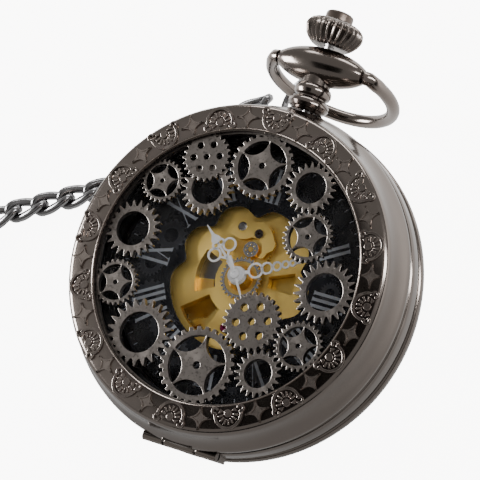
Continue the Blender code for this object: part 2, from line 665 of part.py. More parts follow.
def hour_work(gold, steel):
    """Hour wheel on its pipe, toothed cannon pinion inside it, and the minute wheel beside them."""
    bore, pipe = 0.95 * MM, 1.3 * MM
    low = HOUR_WHEEL_LOW
    wheel = plate([toothed(HOUR_WHEEL_R, HOUR_WHEEL_R - TOOTH, 30), circle(bore, steps=12)], low, low + 0.3 * MM)
    tube = lathe([(bore, HOUR_SEAT - FINE), (pipe, HOUR_SEAT - FINE), (pipe + 0.5 * MM, low + 0.2 * MM),
                  (bore, low + 0.2 * MM)], 12)
    place("hour_wheel", join(wheel, tube), gold)
    inner, outer = 0.42 * MM, bore - FINE
    cannon = lathe([(inner, MINUTE_SEAT - FINE), (0.7 * MM, MINUTE_SEAT - FINE), (outer, 2.9 * MM),
                    (outer, 1.0 * MM), (inner, 1.0 * MM)], 12)
    pinion = plate([toothed(1.15 * MM, outer, 12), circle(inner, steps=12)], 1.0 * MM, 1.3 * MM)
    place("cannon_pinion", join(cannon, pinion), steel)
    x, y = MINUTE_WHEEL
    wide = y - 1.15 * MM - FINE
    lower = plate([toothed(wide, wide - TOOTH, 36, centre=(x, y))], 1.0 * MM, 1.3 * MM)
    disc = plate([toothed(MINUTE_DISC_R, MINUTE_DISC_R - 0.25 * MM, 8, centre=(x, y))], 1.2 * MM, 1.85 * MM)
    place("minute_wheel", join(lower, disc), steel, (x, y, 0))


# ================================================================ hands
def strip(points, width, closed=False):
    """Left and right edges of a band that follows a list of points."""
    left, right = [], []
    for i, (x, y) in enumerate(points):
        before = points[i - 1] if i or closed else points[i]
        after = points[(i + 1) % len(points)] if i + 1 < len(points) or closed else points[i]
        dx, dy = after[0] - before[0], after[1] - before[1]
        long = math.hypot(dx, dy)
        left.append((x - dy / long * width / 2, y + dx / long * width / 2))
        right.append((x + dy / long * width / 2, y - dx / long * width / 2))
    return left, right


def ring_plate(centre, radius, width, low, high, steps=8):
    return plate([circle(radius + width / 2, centre, steps), circle(radius - width / 2, centre, steps)],
                 low, high)


def bar(start, end, width0, width1, low, high):
    dx, dy = end[0] - start[0], end[1] - start[1]
    long = math.hypot(dx, dy)
    nx, ny = -dy / long / 2, dx / long / 2
    return plate([[(start[0] - nx * width0, start[1] - ny * width0), (end[0] - nx * width1, end[1] - ny * width1),
                   (end[0] + nx * width1, end[1] + ny * width1),
                   (start[0] + nx * width0, start[1] + ny * width0)]], low, high)


def hour_hand(white):
    """Filigree hour hand: a stalk, two side loops, two ovals and a spade with a fine point."""
    low, high = HOUR_SEAT, HOUR_SEAT + HAND_THICK
    line = 0.3 * MM
    hand = bar((0.9 * MM, 0), (3.4 * MM, 0), 0.8 * MM, 0.5 * MM, low, high)
    for side in (-1, 1):
        hand = join(hand, ring_plate((4.35 * MM, side * 1.25 * MM), 0.85 * MM, line, low, high),
                    bar((3.2 * MM, 0), (3.9 * MM, side * 0.75 * MM), line, line, low, high),
                    ring_plate((5.3 * MM, side * 0.38 * MM), 0.42 * MM, line, low, high, 6))
    hand = join(hand, bar((3.2 * MM, 0), (5.0 * MM, 0), line, line, low, high),
                bar((5.5 * MM, 0), (6.9 * MM, 0), 1.15 * MM, 0.5 * MM, low, high),
                bar((6.8 * MM, 0), (8.5 * MM, 0), 0.5 * MM, 0.18 * MM, low, high))
    hub = plate([circle(1.55 * MM, steps=14), circle(0.95 * MM, steps=14)], low, high + 0.12 * MM)
    return place("hour_hand", move(join(hand, hub), turn=HOUR_ANGLE), white)


def minute_hand(white):
    """Filigree minute hand: two loops, then ovals shrinking to a fine point."""
    low, high = MINUTE_SEAT, MINUTE_SEAT + HAND_THICK
    line = 0.3 * MM
    hand = ring_plate((2.75 * MM, 0), 0.95 * MM, line, low, high)
    hand = join(hand, ring_plate((4.35 * MM, 0), 0.8 * MM, line, low, high),
                bar((0.8 * MM, 0), (1.9 * MM, 0), 0.6 * MM, 0.5 * MM, low, high),
                ring_plate((5.85 * MM, 0), 0.62 * MM, line, low, high, 8),
                ring_plate((7.25 * MM, 0), 0.5 * MM, line, low, high, 8),
                bar((5.0 * MM, 0), (5.4 * MM, 0), 0.4 * MM, 0.4 * MM, low, high),
                bar((6.3 * MM, 0), (6.9 * MM, 0), 0.4 * MM, 0.4 * MM, low, high),
                bar((7.6 * MM, 0), (11.8 * MM, 0), 0.5 * MM, 0.16 * MM, low, high))
    hub = plate([circle(1.2 * MM, steps=14), circle(0.42 * MM, steps=10)], low, high + 0.12 * MM)
    return place("minute_hand", move(join(hand, hub), turn=MINUTE_ANGLE), white)


def seconds_hand(white):
    """Short sweep hand on a fine arbor that runs through the cannon pinion."""
    low, high = SECONDS_SEAT, SECONDS_SEAT + HAND_THICK
    hand = bar((-2.6 * MM, 0), (4.6 * MM, 0), 0.36 * MM, 0.24 * MM, low, high)
    hub = rod(0.72 * MM, low - 0.05 * MM, high + 0.18 * MM, steps=14)
    arbor = rod(0.3 * MM, 0.6 * MM, low + 0.1 * MM, steps=8)
    return place("seconds_hand", move(join(hand, hub, arbor), turn=SECONDS_ANGLE), white)


# ================================================================ going train and winding work
def wheel(name, spot, tip, teeth, low, pinion, pinion_span, mat, count=8, spokes=4, rim=0.7 * MM,
          span=None):
    """Toothed wheel with spokes, its pinion and its arbor in one piece."""
    hub = 0.9 * MM
    half = math.radians(8)
    part = math.tau / spokes
    holes = [arc_slot(hub, tip - TOOTH - rim, i * part + 2.2 * half, (i + 1) * part - half, spot, 2)
             for i in range(spokes)]
    disc = plate([toothed(tip, tip - TOOTH, teeth, centre=spot), *holes], low, low + 0.25 * MM)
    bottom, top = span or (BRIDGE_TOP - 0.5 * MM, PLATE_BOTTOM + 0.9 * MM)
    arbor = rod(PIVOT_R, bottom, top, spot, 8)
    leaves = plate([toothed(pinion, pinion - 0.2 * MM, count, centre=spot)], *pinion_span)
    return place(name, join(disc, arbor, leaves), mat, (*spot, 0))


def going_train(gold, steel):
    """Barrel, centre, third, fourth and escape wheels, each meshing with its neighbour's pinion."""
    x, y = BARREL
    drum = plate([toothed(6.6 * MM, 6.25 * MM, 64, centre=BARREL), circle(0.9 * MM, BARREL, 10)],
                 -2.5 * MM, PLATE_BOTTOM - 0.2 * MM)
    place("barrel", drum, gold, (x, y, 0))
    wheel("centre_wheel", CENTRE, 6.0 * MM, 64, -3.05 * MM, 1.15 * MM, (-2.5 * MM, -0.6 * MM), gold,
          span=(BRIDGE_TOP - 0.5 * MM, 0.5 * MM))
    wheel("third_wheel", THIRD, 3.95 * MM, 60, -1.3 * MM, 0.7 * MM, (-3.1 * MM, -2.6 * MM), gold)
    wheel("fourth_wheel", FOURTH, 3.55 * MM, 60, -2.3 * MM, 0.62 * MM, (-1.5 * MM, -0.9 * MM), gold)
    wheel("escape_wheel", ESCAPE, 2.2 * MM, 15, -1.35 * MM, 0.6 * MM, (-2.5 * MM, -1.9 * MM), steel,
          count=6, spokes=3, rim=0.35 * MM)


def escapement(gold, steel):
    """Pallet fork and balance wheel; the hairspring stays fixed to its stud."""
    to_escape = math.atan2(ESCAPE[1] - PALLET[1], ESCAPE[0] - PALLET[0])
    to_balance = math.atan2(BALANCE[1] - PALLET[1], BALANCE[0] - PALLET[0])
    low, high = -1.35 * MM, -1.1 * MM
    stem = bar(PALLET, polar(3.3 * MM, to_balance, PALLET), 0.55 * MM, 0.4 * MM, low, high)
    fork = [bar(polar(3.1 * MM, to_balance, PALLET), polar(4.0 * MM, to_balance + side * 0.14, PALLET),
                0.3 * MM, 0.22 * MM, low, high) for side in (-1, 1)]
    arms = []
    for side in (-1, 1):
        elbow = polar(1.75 * MM, to_escape + side * 1.25, PALLET)
        arms.append(bar(PALLET, elbow, 0.5 * MM, 0.45 * MM, low, high))
        arms.append(bar(elbow, polar(2.35 * MM, to_escape + side * 0.92, PALLET), 0.45 * MM, 0.3 * MM, low, high))
    arbor = rod(PIVOT_R, BRIDGE_TOP - 0.5 * MM, PLATE_BOTTOM + 0.9 * MM, PALLET, 8)
    place("pallet_fork", join(stem, *fork, *arms, arbor), steel, (*PALLET, 0))
    rim_r, rim_w = BALANCE_R, 0.6 * MM
    rim = plate([circle(rim_r, BALANCE, 24), circle(rim_r - rim_w, BALANCE, 24)], -3.2 * MM, -2.7 * MM)
    spoke_low, spoke_high = -3.1 * MM, -2.85 * MM
    spokes = [bar(polar(rim_r - rim_w / 2, a, BALANCE), polar(rim_r - rim_w / 2, a + math.pi, BALANCE),
                  0.5 * MM, 0.5 * MM, spoke_low, spoke_high) for a in (0.5, 0.5 + math.pi / 2)]
    staff = lathe([(0, -4.3 * MM), (PIVOT_R, -4.3 * MM), (PIVOT_R, -3.9 * MM), (0.5 * MM, -3.6 * MM),
                   (0.5 * MM, -2.0 * MM), (PIVOT_R, -1.8 * MM), (PIVOT_R, 0.4 * MM), (0, 0.4 * MM)][::-1], 10,
                  "Z", (*BALANCE, 0))
    place("balance_wheel", join(rim, *spokes, staff), gold, (*BALANCE, 0))
    turns, steps = 3, 10
    line = [polar(0.75 * MM + 1.9 * MM * i / (turns * steps), math.tau * i / steps, BALANCE)
            for i in range(turns * steps + 1)]
    left, right = strip(line, 0.12 * MM)
    place("hairspring", plate([left + right[::-1]], -3.62 * MM, -3.47 * MM), steel)


def winding_work(steel):
    """Ratchet wheel on the barrel's arbor, crown wheel and click, on top of the barrel bridge."""
    low, high = BRIDGE_BOTTOM - 0.5 * MM, BRIDGE_BOTTOM - FINE
    ratchet = plate([toothed(4.2 * MM, 3.85 * MM, 36, centre=BARREL)], low, high)
    arbor = rod(0.8 * MM, high - FINE, PLATE_BOTTOM - 0.1 * MM, BARREL, 10)
    pivot = rod(PIVOT_R, -MM, PLATE_TOP - 0.3 * MM, BARREL, 8)
    place("ratchet_wheel", join(ratchet, arbor, pivot), steel, (*BARREL, 0))
    crown_wheel = plate([toothed(3.25 * MM, 2.95 * MM, 28, centre=CROWN_WHEEL)], low, high)
    post = rod(0.6 * MM, high - FINE, BRIDGE_TOP - 0.1 * MM, CROWN_WHEEL, 8)
    place("crown_wheel", join(crown_wheel, post), steel, (*CROWN_WHEEL, 0))
    away = math.atan2(BARREL[1] - CLICK[1], BARREL[0] - CLICK[0])
    beak = bar(CLICK, polar(1.95 * MM, away + 0.35, CLICK), 1.2 * MM, 0.3 * MM, low, high)
    body = rod(0.85 * MM, low, high, CLICK, 12)
    post = rod(PIVOT_R, high - FINE, BRIDGE_TOP - 0.1 * MM, CLICK, 8)
    place("click", join(body, beak, post), steel, (*CLICK, 0))


def blob(spots, radius, steps=12):
    """Outline round a set of spots: the convex line that encloses a circle at each of them."""
    cloud = [polar(radius, math.tau * i / steps, spot) for spot in spots for i in range(steps)]
    cloud = sorted(set(cloud))

    def side(points):
        chain = []
        for p in points:
            while len(chain) > 1 and ((chain[-1][0] - chain[-2][0]) * (p[1] - chain[-2][1])
                                      - (chain[-1][1] - chain[-2][1]) * (p[0] - chain[-2][0])) <= 0:
                chain.pop()
            chain.append(p)
        return chain[:-1]
    return side(cloud) + side(cloud[::-1])


def bridge(name, outline, foot, holes, gold, low=BRIDGE_BOTTOM, high=BRIDGE_TOP):
    """Bridge plate over the train with a foot that stands on the main plate's rim."""
    body = plate([outline], low, high)
    start, end = (math.radians(a) for a in foot)
    leg = plate([arc_slot(15.2 * MM, PLATE_R - FINE, start, end, steps=5)], high - 0.3 * MM,
                PLATE_BOTTOM - FINE)
    body = join(body, leg)
    drills = [rod(radius + FINE, low - MM, high + MM, spot, 10) for spot, radius in holes]
    return place(name, cut(body, *drills), gold)


def bridges(gold):
    edge = 15.6 * MM
    spots = [polar(edge, math.radians(a)) for a in (-38, -15, 8, 30, 50)]
    bridge("barrel_bridge", blob([*spots, (2.6 * MM, 1.8 * MM), (3.0 * MM, 10.6 * MM), CROWN_WHEEL], 1.1 * MM),
           (-35, 45), [(BARREL, 0.8 * MM), (CROWN_WHEEL, 0.6 * MM), (CLICK, PIVOT_R)], gold)
    spots = [polar(edge, math.radians(a)) for a in (-157, -138, -119, -100, -81)]
    bridge("train_bridge", blob([*spots, CENTRE, PALLET], 0.9 * MM), (-152, -86),
           [(spot, PIVOT_R) for spot in (CENTRE, THIRD, FOURTH, ESCAPE, PALLET)], gold)
    outward = math.atan2(BALANCE[1], BALANCE[0])
    foot = polar(15.9 * MM, outward)
    low, high = -4.9 * MM, -4.15 * MM
    body = plate([blob([BALANCE, foot], 0.85 * MM)], low, high)
    leg = plate([arc_slot(15.15 * MM, PLATE_R - FINE, outward - 0.14, outward + 0.14, steps=4)], high - 0.3 * MM,
                PLATE_BOTTOM - FINE)
    drill = rod(PIVOT_R + FINE, high - 0.35 * MM, high + MM, BALANCE, 10)
    place("balance_cock", cut(join(body, leg), drill), gold)


def jewels(ruby):
    """Ruby bearings: one pressed on the plate below centre, one in the keyless bridge."""
    for name, spot, seat in (("plate_jewel", THIRD, PLATE_TOP),
                             ("bridge_jewel", KEYLESS_JEWEL, KEYLESS_HIGH)):
        low = seat + FINE
        profile = [(0.15 * MM, low + 0.25 * MM), (0.5 * MM, low + 0.25 * MM), (0.62 * MM, low + 0.12 * MM),
                   (0.62 * MM, low), (0.15 * MM, low)]
        place(name, lathe(profile, 14, "Z", (*spot, 0)), ruby)


# ================================================================ chain
def chain(metal):
    """The chain's free stretch as a plain tube, its coil as a turned ring, and the clasp."""
    lift = CHAIN_D / 2
    route = [(x * MM, y * MM, lift) for x, y in CHAIN_ROUTE]
    curve = bpy.data.curves.new("chain", "CURVE")
    curve.dimensions = "3D"
    curve.bevel_depth = CHAIN_D / 2
    curve.bevel_resolution = 2
    curve.use_fill_caps = True
    points = smooth_route(route, 1)
    line = curve.splines.new("POLY")
    line.points.add(len(points) - 1)
    for knot, point in zip(line.points, points):
        knot.co = (*point, 1.0)
    curve.materials.append(metal)
    tube = bpy.data.objects.new("chain", curve)
    bpy.context.collection.objects.link(tube)
    reach = COIL_TURNS * CHAIN_D / 2
    inner, outer = COIL_MID_R - reach - CHAIN_D / 2, COIL_MID_R + reach + CHAIN_D / 2
    ring = lathe([(inner, CHAIN_D), (outer, CHAIN_D), (outer, 0), (inner, 0)], 36, "Z", (*COIL_CENTRE, 0))
    coil = place("chain_coil", ring, metal)
    coil.parent = None
    thick = 2.4 * MM
    body = blob([(-4.0 * MM, 0), (4.0 * MM, 0)], 2.6 * MM)
    hole = blob([(-2.6 * MM, 0), (3.4 * MM, 0)], 1.5 * MM, 8)
    clasp = plate([body, hole], 0, thick)
    swivel = rod(1.0 * MM, -9.0 * MM, -6.2 * MM, (0, thick / 2), 10, "X")
    clasp = join(clasp, swivel)
    piece = place("chain_clasp", move(clasp, COIL_CENTRE[0] + 0.5 * MM, COIL_CENTRE[1], 0, CLASP_TURN), metal)
    piece.parent = None


# ================================================================ resting pose
def lean():
    """Tilt at which a floor touches both the back's foot ring and the folded bow's wire."""
    _, far_y, far_z = fold(0, BOW_REACH + BOW_R)
    along, down = far_y + BACK_FOOT_R, far_z - BACK_FACE
    return math.asin(BOW_WIRE / math.hypot(along, down)) - math.atan2(down, along)


def set_down(objects):
    """Shift the watch so that its box stands centred on the origin, on the floor."""
    bpy.context.view_layer.update()
    corners = [piece.matrix_world @ vert.co for piece in objects for vert in piece.data.vertices]
    low = [min(c[k] for c in corners) for k in range(3)]
    high = [max(c[k] for c in corners) for k in range(3)]
    WATCH.location = (-(low[0] + high[0]) / 2, -(low[1] + high[1]) / 2, -low[2])


def build():
    global WATCH
    for thing in list(bpy.data.objects):
        bpy.data.objects.remove(thing)
    WATCH = bpy.data.objects.new("watch_frame", None)
    bpy.context.collection.objects.link(WATCH)

    gunmetal = material("gunmetal", (0.17, 0.15, 0.145), 1.0, 0.22)
    lattice = material("lattice_gunmetal", (0.30, 0.28, 0.26), 1.0, 0.35)
    gold = material("gold_plate", (0.93, 0.66, 0.22), 1.0, 0.28)
    steel = material("steel", (0.62, 0.62, 0.63), 1.0, 0.25)
    white = material("silvered_hand", (0.82, 0.83, 0.86), 0.6, 0.3)
    glass = material("glass", (0.95, 0.97, 0.98), 0.0, 0.03, 1.0)
    paint = material("dial_black", (0.02, 0.022, 0.027), 0.0, 0.3)
    ruby = material("ruby", (0.6, 0.03, 0.12), 0.0, 0.1)
    silver = material("antique_silver", (0.40, 0.39, 0.38), 1.0, 0.35)

    hinge = (0, HINGE_Y, HINGE_Z)
    case_band(gunmetal)
    back_cover(gunmetal)
    crystals(glass)
    crystal_bezel(gunmetal)
    cover_rim(gunmetal, hinge)
    gear_grille(lattice, hinge)
    hinge_pin(steel)
    cover_catch(steel)
    pendant(gunmetal)
    bow(gunmetal)
    bow_link(silver)
    crown(gunmetal)
    winding_stem(steel)
    crown_button(lattice)
    dial(paint)
    movement_ring(steel)
    main_plate(gold)
    keyless_bridge(gold)
    screw("keyless_screw", KEYLESS_SCREW, KEYLESS_HIGH, -1, steel)
    hour_work(gold, steel)
    hour_hand(white)
    minute_hand(white)
    seconds_hand(white)
    going_train(gold, steel)
    escapement(gold, steel)
    winding_work(steel)
    bridges(gold)
    jewels(ruby)

    WATCH.rotation_euler = Euler((lean(), 0, 0))
    set_down([piece for piece in bpy.data.objects if piece.type == "MESH"])
    chain(silver)


build()
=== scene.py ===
"""Pocket watch with a gear-lattice cover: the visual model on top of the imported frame.

Laid out as a Blender add-on with one operator for each group of pieces.  Everything is drawn in
the watch's own frame, in metres: dial normal +Z, twelve o'clock +Y, the stem's axis at Z = 0.
seated() then leans each piece back onto the floor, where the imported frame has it.
"""
import math
import random

import bpy
from bpy.props import FloatProperty, FloatVectorProperty, IntProperty, PointerProperty
from mathutils import Matrix, Vector


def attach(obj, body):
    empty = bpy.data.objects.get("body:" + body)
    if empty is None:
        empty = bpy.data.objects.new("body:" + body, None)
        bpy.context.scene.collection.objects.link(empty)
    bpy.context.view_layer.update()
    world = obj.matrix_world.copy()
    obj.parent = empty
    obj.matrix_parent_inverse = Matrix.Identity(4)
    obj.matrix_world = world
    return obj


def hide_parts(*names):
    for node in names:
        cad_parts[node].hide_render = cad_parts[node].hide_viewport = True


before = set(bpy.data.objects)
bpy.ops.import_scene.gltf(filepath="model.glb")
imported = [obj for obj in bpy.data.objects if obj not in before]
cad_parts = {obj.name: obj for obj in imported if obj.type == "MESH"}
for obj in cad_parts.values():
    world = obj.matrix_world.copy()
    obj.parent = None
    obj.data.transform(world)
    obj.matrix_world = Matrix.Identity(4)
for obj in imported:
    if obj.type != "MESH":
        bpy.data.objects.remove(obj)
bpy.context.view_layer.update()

bl_info = {
    "name": "Gear-lattice pocket watch",
    "version": (1, 0, 0),
    "blender": (4, 5, 0),
    "location": "3D View > Sidebar > Watch",
    "description": "Builds a skeleton pocket watch with a pierced gear cover, its chain and a stage",
    "category": "Object",
}

MM = 0.001
LEAN = math.radians(9.7929)          # the watch rests on its back's edge and on its folded bow
SET_DOWN = (0.0, -7.062 * MM, 10.092 * MM)
WATCH = Matrix.Translation(SET_DOWN) @ Matrix.Rotation(LEAN, 4, "X")
HAIR = 1e-7                          # welding distance


# ================================================================ properties
class WATCH_PG_sizes(bpy.types.PropertyGroup):
    """Sizes a user may change."""
    steps: IntProperty(name="Facets", description="Facets round the case", default=160, min=48)
    ornament: FloatProperty(name="Ornament height", description="How far the cover's ornament stands proud",
                            default=0.26 * MM, unit="LENGTH")
    link_wire: FloatProperty(name="Link wire", description="Thickness of the chain's wire",
                             default=1.25 * MM, unit="LENGTH")
    link_pitch: FloatProperty(name="Link pitch", description="Distance from link to link",
                              default=3.9 * MM, unit="LENGTH")
    lens: FloatProperty(name="Lens", description="Focal length of the camera", default=227.67, unit="CAMERA")


class WATCH_PG_colours(bpy.types.PropertyGroup):
    """Colours a user may change."""
    gunmetal: FloatVectorProperty(name="Gunmetal", description="Plating of the case", subtype="COLOR",
                                  size=3, default=(0.160, 0.138, 0.124))
    lattice: FloatVectorProperty(name="Lattice", description="Plating of the cover's gears", subtype="COLOR",
                                 size=3, default=(0.185, 0.166, 0.152))
    gold: FloatVectorProperty(name="Gold", description="Plating of the movement", subtype="COLOR",
                              size=3, default=(1.0, 0.60, 0.17))
    hands: FloatVectorProperty(name="Hands", description="Silvering of the hands", subtype="COLOR",
                               size=3, default=(0.93, 0.94, 0.98))
    chain: FloatVectorProperty(name="Chain", description="Plating of the chain", subtype="COLOR",
                               size=3, default=(0.15, 0.148, 0.15))


def sizes():
    return bpy.context.scene.watch_sizes


def colours():
    return bpy.context.scene.watch_colours


# ================================================================ modelling helpers
def clear_selection():
    if bpy.context.object and bpy.context.object.mode != "OBJECT":
        bpy.ops.object.mode_set(mode="OBJECT")
    bpy.ops.object.select_all(action="DESELECT")


def pick(*objects):
    """Select exactly these objects; the first is the active one."""
    clear_selection()
    for thing in objects:
        thing.select_set(True)
    bpy.context.view_layer.objects.active = objects[0]
    return objects[0]


def edit(thing):
    pick(thing)
    bpy.ops.object.mode_set(mode="EDIT")
    bpy.ops.mesh.select_mode(type="VERT")
    bpy.ops.mesh.select_all(action="SELECT")


def traced(points, closed=True):
    """A line of vertices drawn by extruding one vertex from point to point; stays in edit mode."""
    clear_selection()
    bpy.ops.mesh.primitive_plane_add(size=MM)
    thing = bpy.context.object
    edit(thing)
    bpy.ops.mesh.merge(type="CENTER")
    bpy.ops.transform.translate(value=points[0])
    stops = list(points[1:]) + ([points[0]] if closed else [])
    last = Vector(points[0])
    for point in stops:
        bpy.ops.mesh.extrude_region_move(TRANSFORM_OT_translate={"value": Vector(point) - last})
        last = Vector(point)
    bpy.ops.mesh.select_all(action="SELECT")
    if closed:
        bpy.ops.mesh.remove_doubles(threshold=HAIR)
    return thing


def tidy(thing, angle=35):
    """Weld, face outwards and shade smooth up to an angle."""
    edit(thing)
    bpy.ops.mesh.remove_doubles(threshold=HAIR)
    bpy.ops.mesh.normals_make_consistent(inside=False)
    bpy.ops.object.mode_set(mode="OBJECT")
    bpy.ops.object.shade_smooth_by_angle(angle=math.radians(angle))
    return thing


def spun(profile, steps=None, axis="Z", centre=(0, 0, 0), rounding=0.0, segments=2):
    """Turn a closed (radius, height) outline round an axis, its corners rounded first."""
    thing = traced([(r, 0, h) for r, h in profile])
    if rounding:
        bpy.ops.mesh.bevel(offset=rounding, segments=segments, affect="VERTICES", clamp_overlap=True)
        bpy.ops.mesh.select_all(action="SELECT")
    bpy.ops.mesh.spin(steps=steps or sizes().steps, angle=math.tau, center=(0, 0, 0), axis=(0, 0, 1))
    tidy(thing)
    turn = {"Z": Matrix.Identity(4), "Y": Matrix.Rotation(math.radians(-90), 4, "X"),
            "X": Matrix.Rotation(math.radians(90), 4, "Y")}[axis]
    thing.matrix_world = Matrix.Translation(centre) @ turn
    bpy.ops.object.transform_apply()
    return thing


def plate(outlines, low, high, bevel=0.0):
    """A flat piece: the first outline is its edge, the others are holes in it."""
    rings = []
    for outline in outlines:
        rings.append(traced([(x, y, low) for x, y in outline]))
        bpy.ops.object.mode_set(mode="OBJECT")
    thing = pick(*rings)
    if len(rings) > 1:
        bpy.ops.object.join()
    edit(thing)
    bpy.ops.mesh.select_mode(type="EDGE")
    bpy.ops.mesh.select_all(action="SELECT")
    bpy.ops.mesh.fill(use_beauty=True)
    bpy.ops.mesh.select_all(action="SELECT")
    bpy.ops.mesh.extrude_region_move(TRANSFORM_OT_translate={"value": (0, 0, high - low)})
    tidy(thing)
    if bevel:
        bevelled(thing, bevel)
    return thing


def bevelled(thing, width, segments=2, angle=35):
    pick(thing)
    step = thing.modifiers.new("Bevel", "BEVEL")
    step.width, step.segments = width, segments
    step.limit_method, step.angle_limit = "ANGLE", math.radians(angle)
    bpy.ops.object.modifier_apply(modifier=step.name)
    bpy.ops.object.shade_smooth_by_angle(angle=math.radians(40))
    return thing


def joined(*things):
    pick(*things)
    if len(things) > 1:
        bpy.ops.object.join()
    return bpy.context.object


def cut(thing, *cutters):
    for cutter in cutters:
        pick(thing)
        step = thing.modifiers.new("Boolean", "BOOLEAN")
        step.operation, step.solver, step.object = "DIFFERENCE", "EXACT", cutter
        bpy.ops.object.modifier_apply(modifier=step.name)
        bpy.data.objects.remove(cutter)
    return tidy(thing)


def bar(x0, x1, y0, y1, z0, z1):
    return plate([[(x0, y0), (x1, y0), (x1, y1), (x0, y1)]], z0, z1)


def rod(radius, low, high, centre=(0, 0), steps=32, axis="Z"):
    spot = {"Z": (centre[0], centre[1], 0), "Y": (centre[0], 0, centre[1]),
            "X": (0, centre[0], centre[1])}[axis]
    clear_selection()
    bpy.ops.mesh.primitive_cylinder_add(vertices=steps, radius=radius, depth=high - low)
    thing = bpy.context.object
    turn = {"Z": Matrix.Identity(4), "Y": Matrix.Rotation(math.radians(-90), 4, "X"),
            "X": Matrix.Rotation(math.radians(90), 4, "Y")}[axis]
    thing.matrix_world = Matrix.Translation(spot) @ turn @ Matrix.Translation((0, 0, (low + high) / 2))
    pick(thing)
    bpy.ops.object.transform_apply()
    return tidy(thing)


def seated(thing, name, mat, body, *replaced, slot=None):
    """Lean a finished piece into place, paint it and let it ride on its body."""
    pick(thing)
    thing.matrix_world = WATCH @ thing.matrix_world
    bpy.ops.object.transform_apply()
    return settled(thing, name, mat, body, *replaced, slot=slot)


def settled(thing, name, mat, body, *replaced, slot=None):
    thing.name = thing.data.name = name
    thing.data.materials.clear()
    thing.data.materials.append(mat)
    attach(thing, body)
    if replaced:
        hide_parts(*replaced)
    return thing


# ================================================================ outlines
def polar(radius, angle, centre=(0, 0)):
    return (centre[0] + radius * math.cos(angle), centre[1] + radius * math.sin(angle))


def circle(radius, centre=(0, 0), steps=32):
    return [polar(radius, math.tau * i / steps, centre) for i in range(steps)]


def tooth_line(tip, root, teeth, aim, shape, centre=(0, 0)):
    """Gear outline; shape is pointed, square or fine."""
    pitch = math.tau / teeth
    marks = {"pointed": [(-0.34, 0), (-0.07, 1), (0.07, 1), (0.34, 0)],
             "square": [(-0.30, 0), (-0.20, 1), (0.20, 1), (0.30, 0)],
             "fine": [(-0.32, 0), (-0.13, 1), (0.13, 1), (0.32, 0)]}[shape]
    return [polar(root + (tip - root) * high, aim + (i + side) * pitch, centre)
            for i in range(teeth) for side, high in marks]


def lens(outer, inner, middle, spread, centre=(0, 0), steps=8):
    """Window of a five-pointed star: an arc by the rim and a round arc that bulges to the hub."""
    line = [polar(outer, middle - spread + 2 * spread * i / steps, centre) for i in range(steps + 1)]
    out = (outer ** 2 - inner ** 2) / (2 * (outer * math.cos(spread) - inner))
    radius = out - inner
    edge = math.atan2(outer * math.sin(spread), outer * math.cos(spread) - out)
    rounds = 12
    for i in range(1, rounds):
        turn = edge + (math.tau - 2 * edge) * i / rounds
        x, y = out + radius * math.cos(turn), radius * math.sin(turn)
        line.append(polar(math.hypot(x, y), middle + math.atan2(y, x), centre))
    return line


# ================================================================ materials
def nodes_of(name):
    mat = bpy.data.materials.new(name)
    mat.use_nodes = True
    tree = mat.node_tree
    return mat, tree, tree.nodes["Principled BSDF"]


def add(tree, kind, **values):
    node = tree.nodes.new(kind)
    for key, value in values.items():
        if key in node.inputs:
            node.inputs[key].default_value = value
        else:
            setattr(node, key, value)
    return node


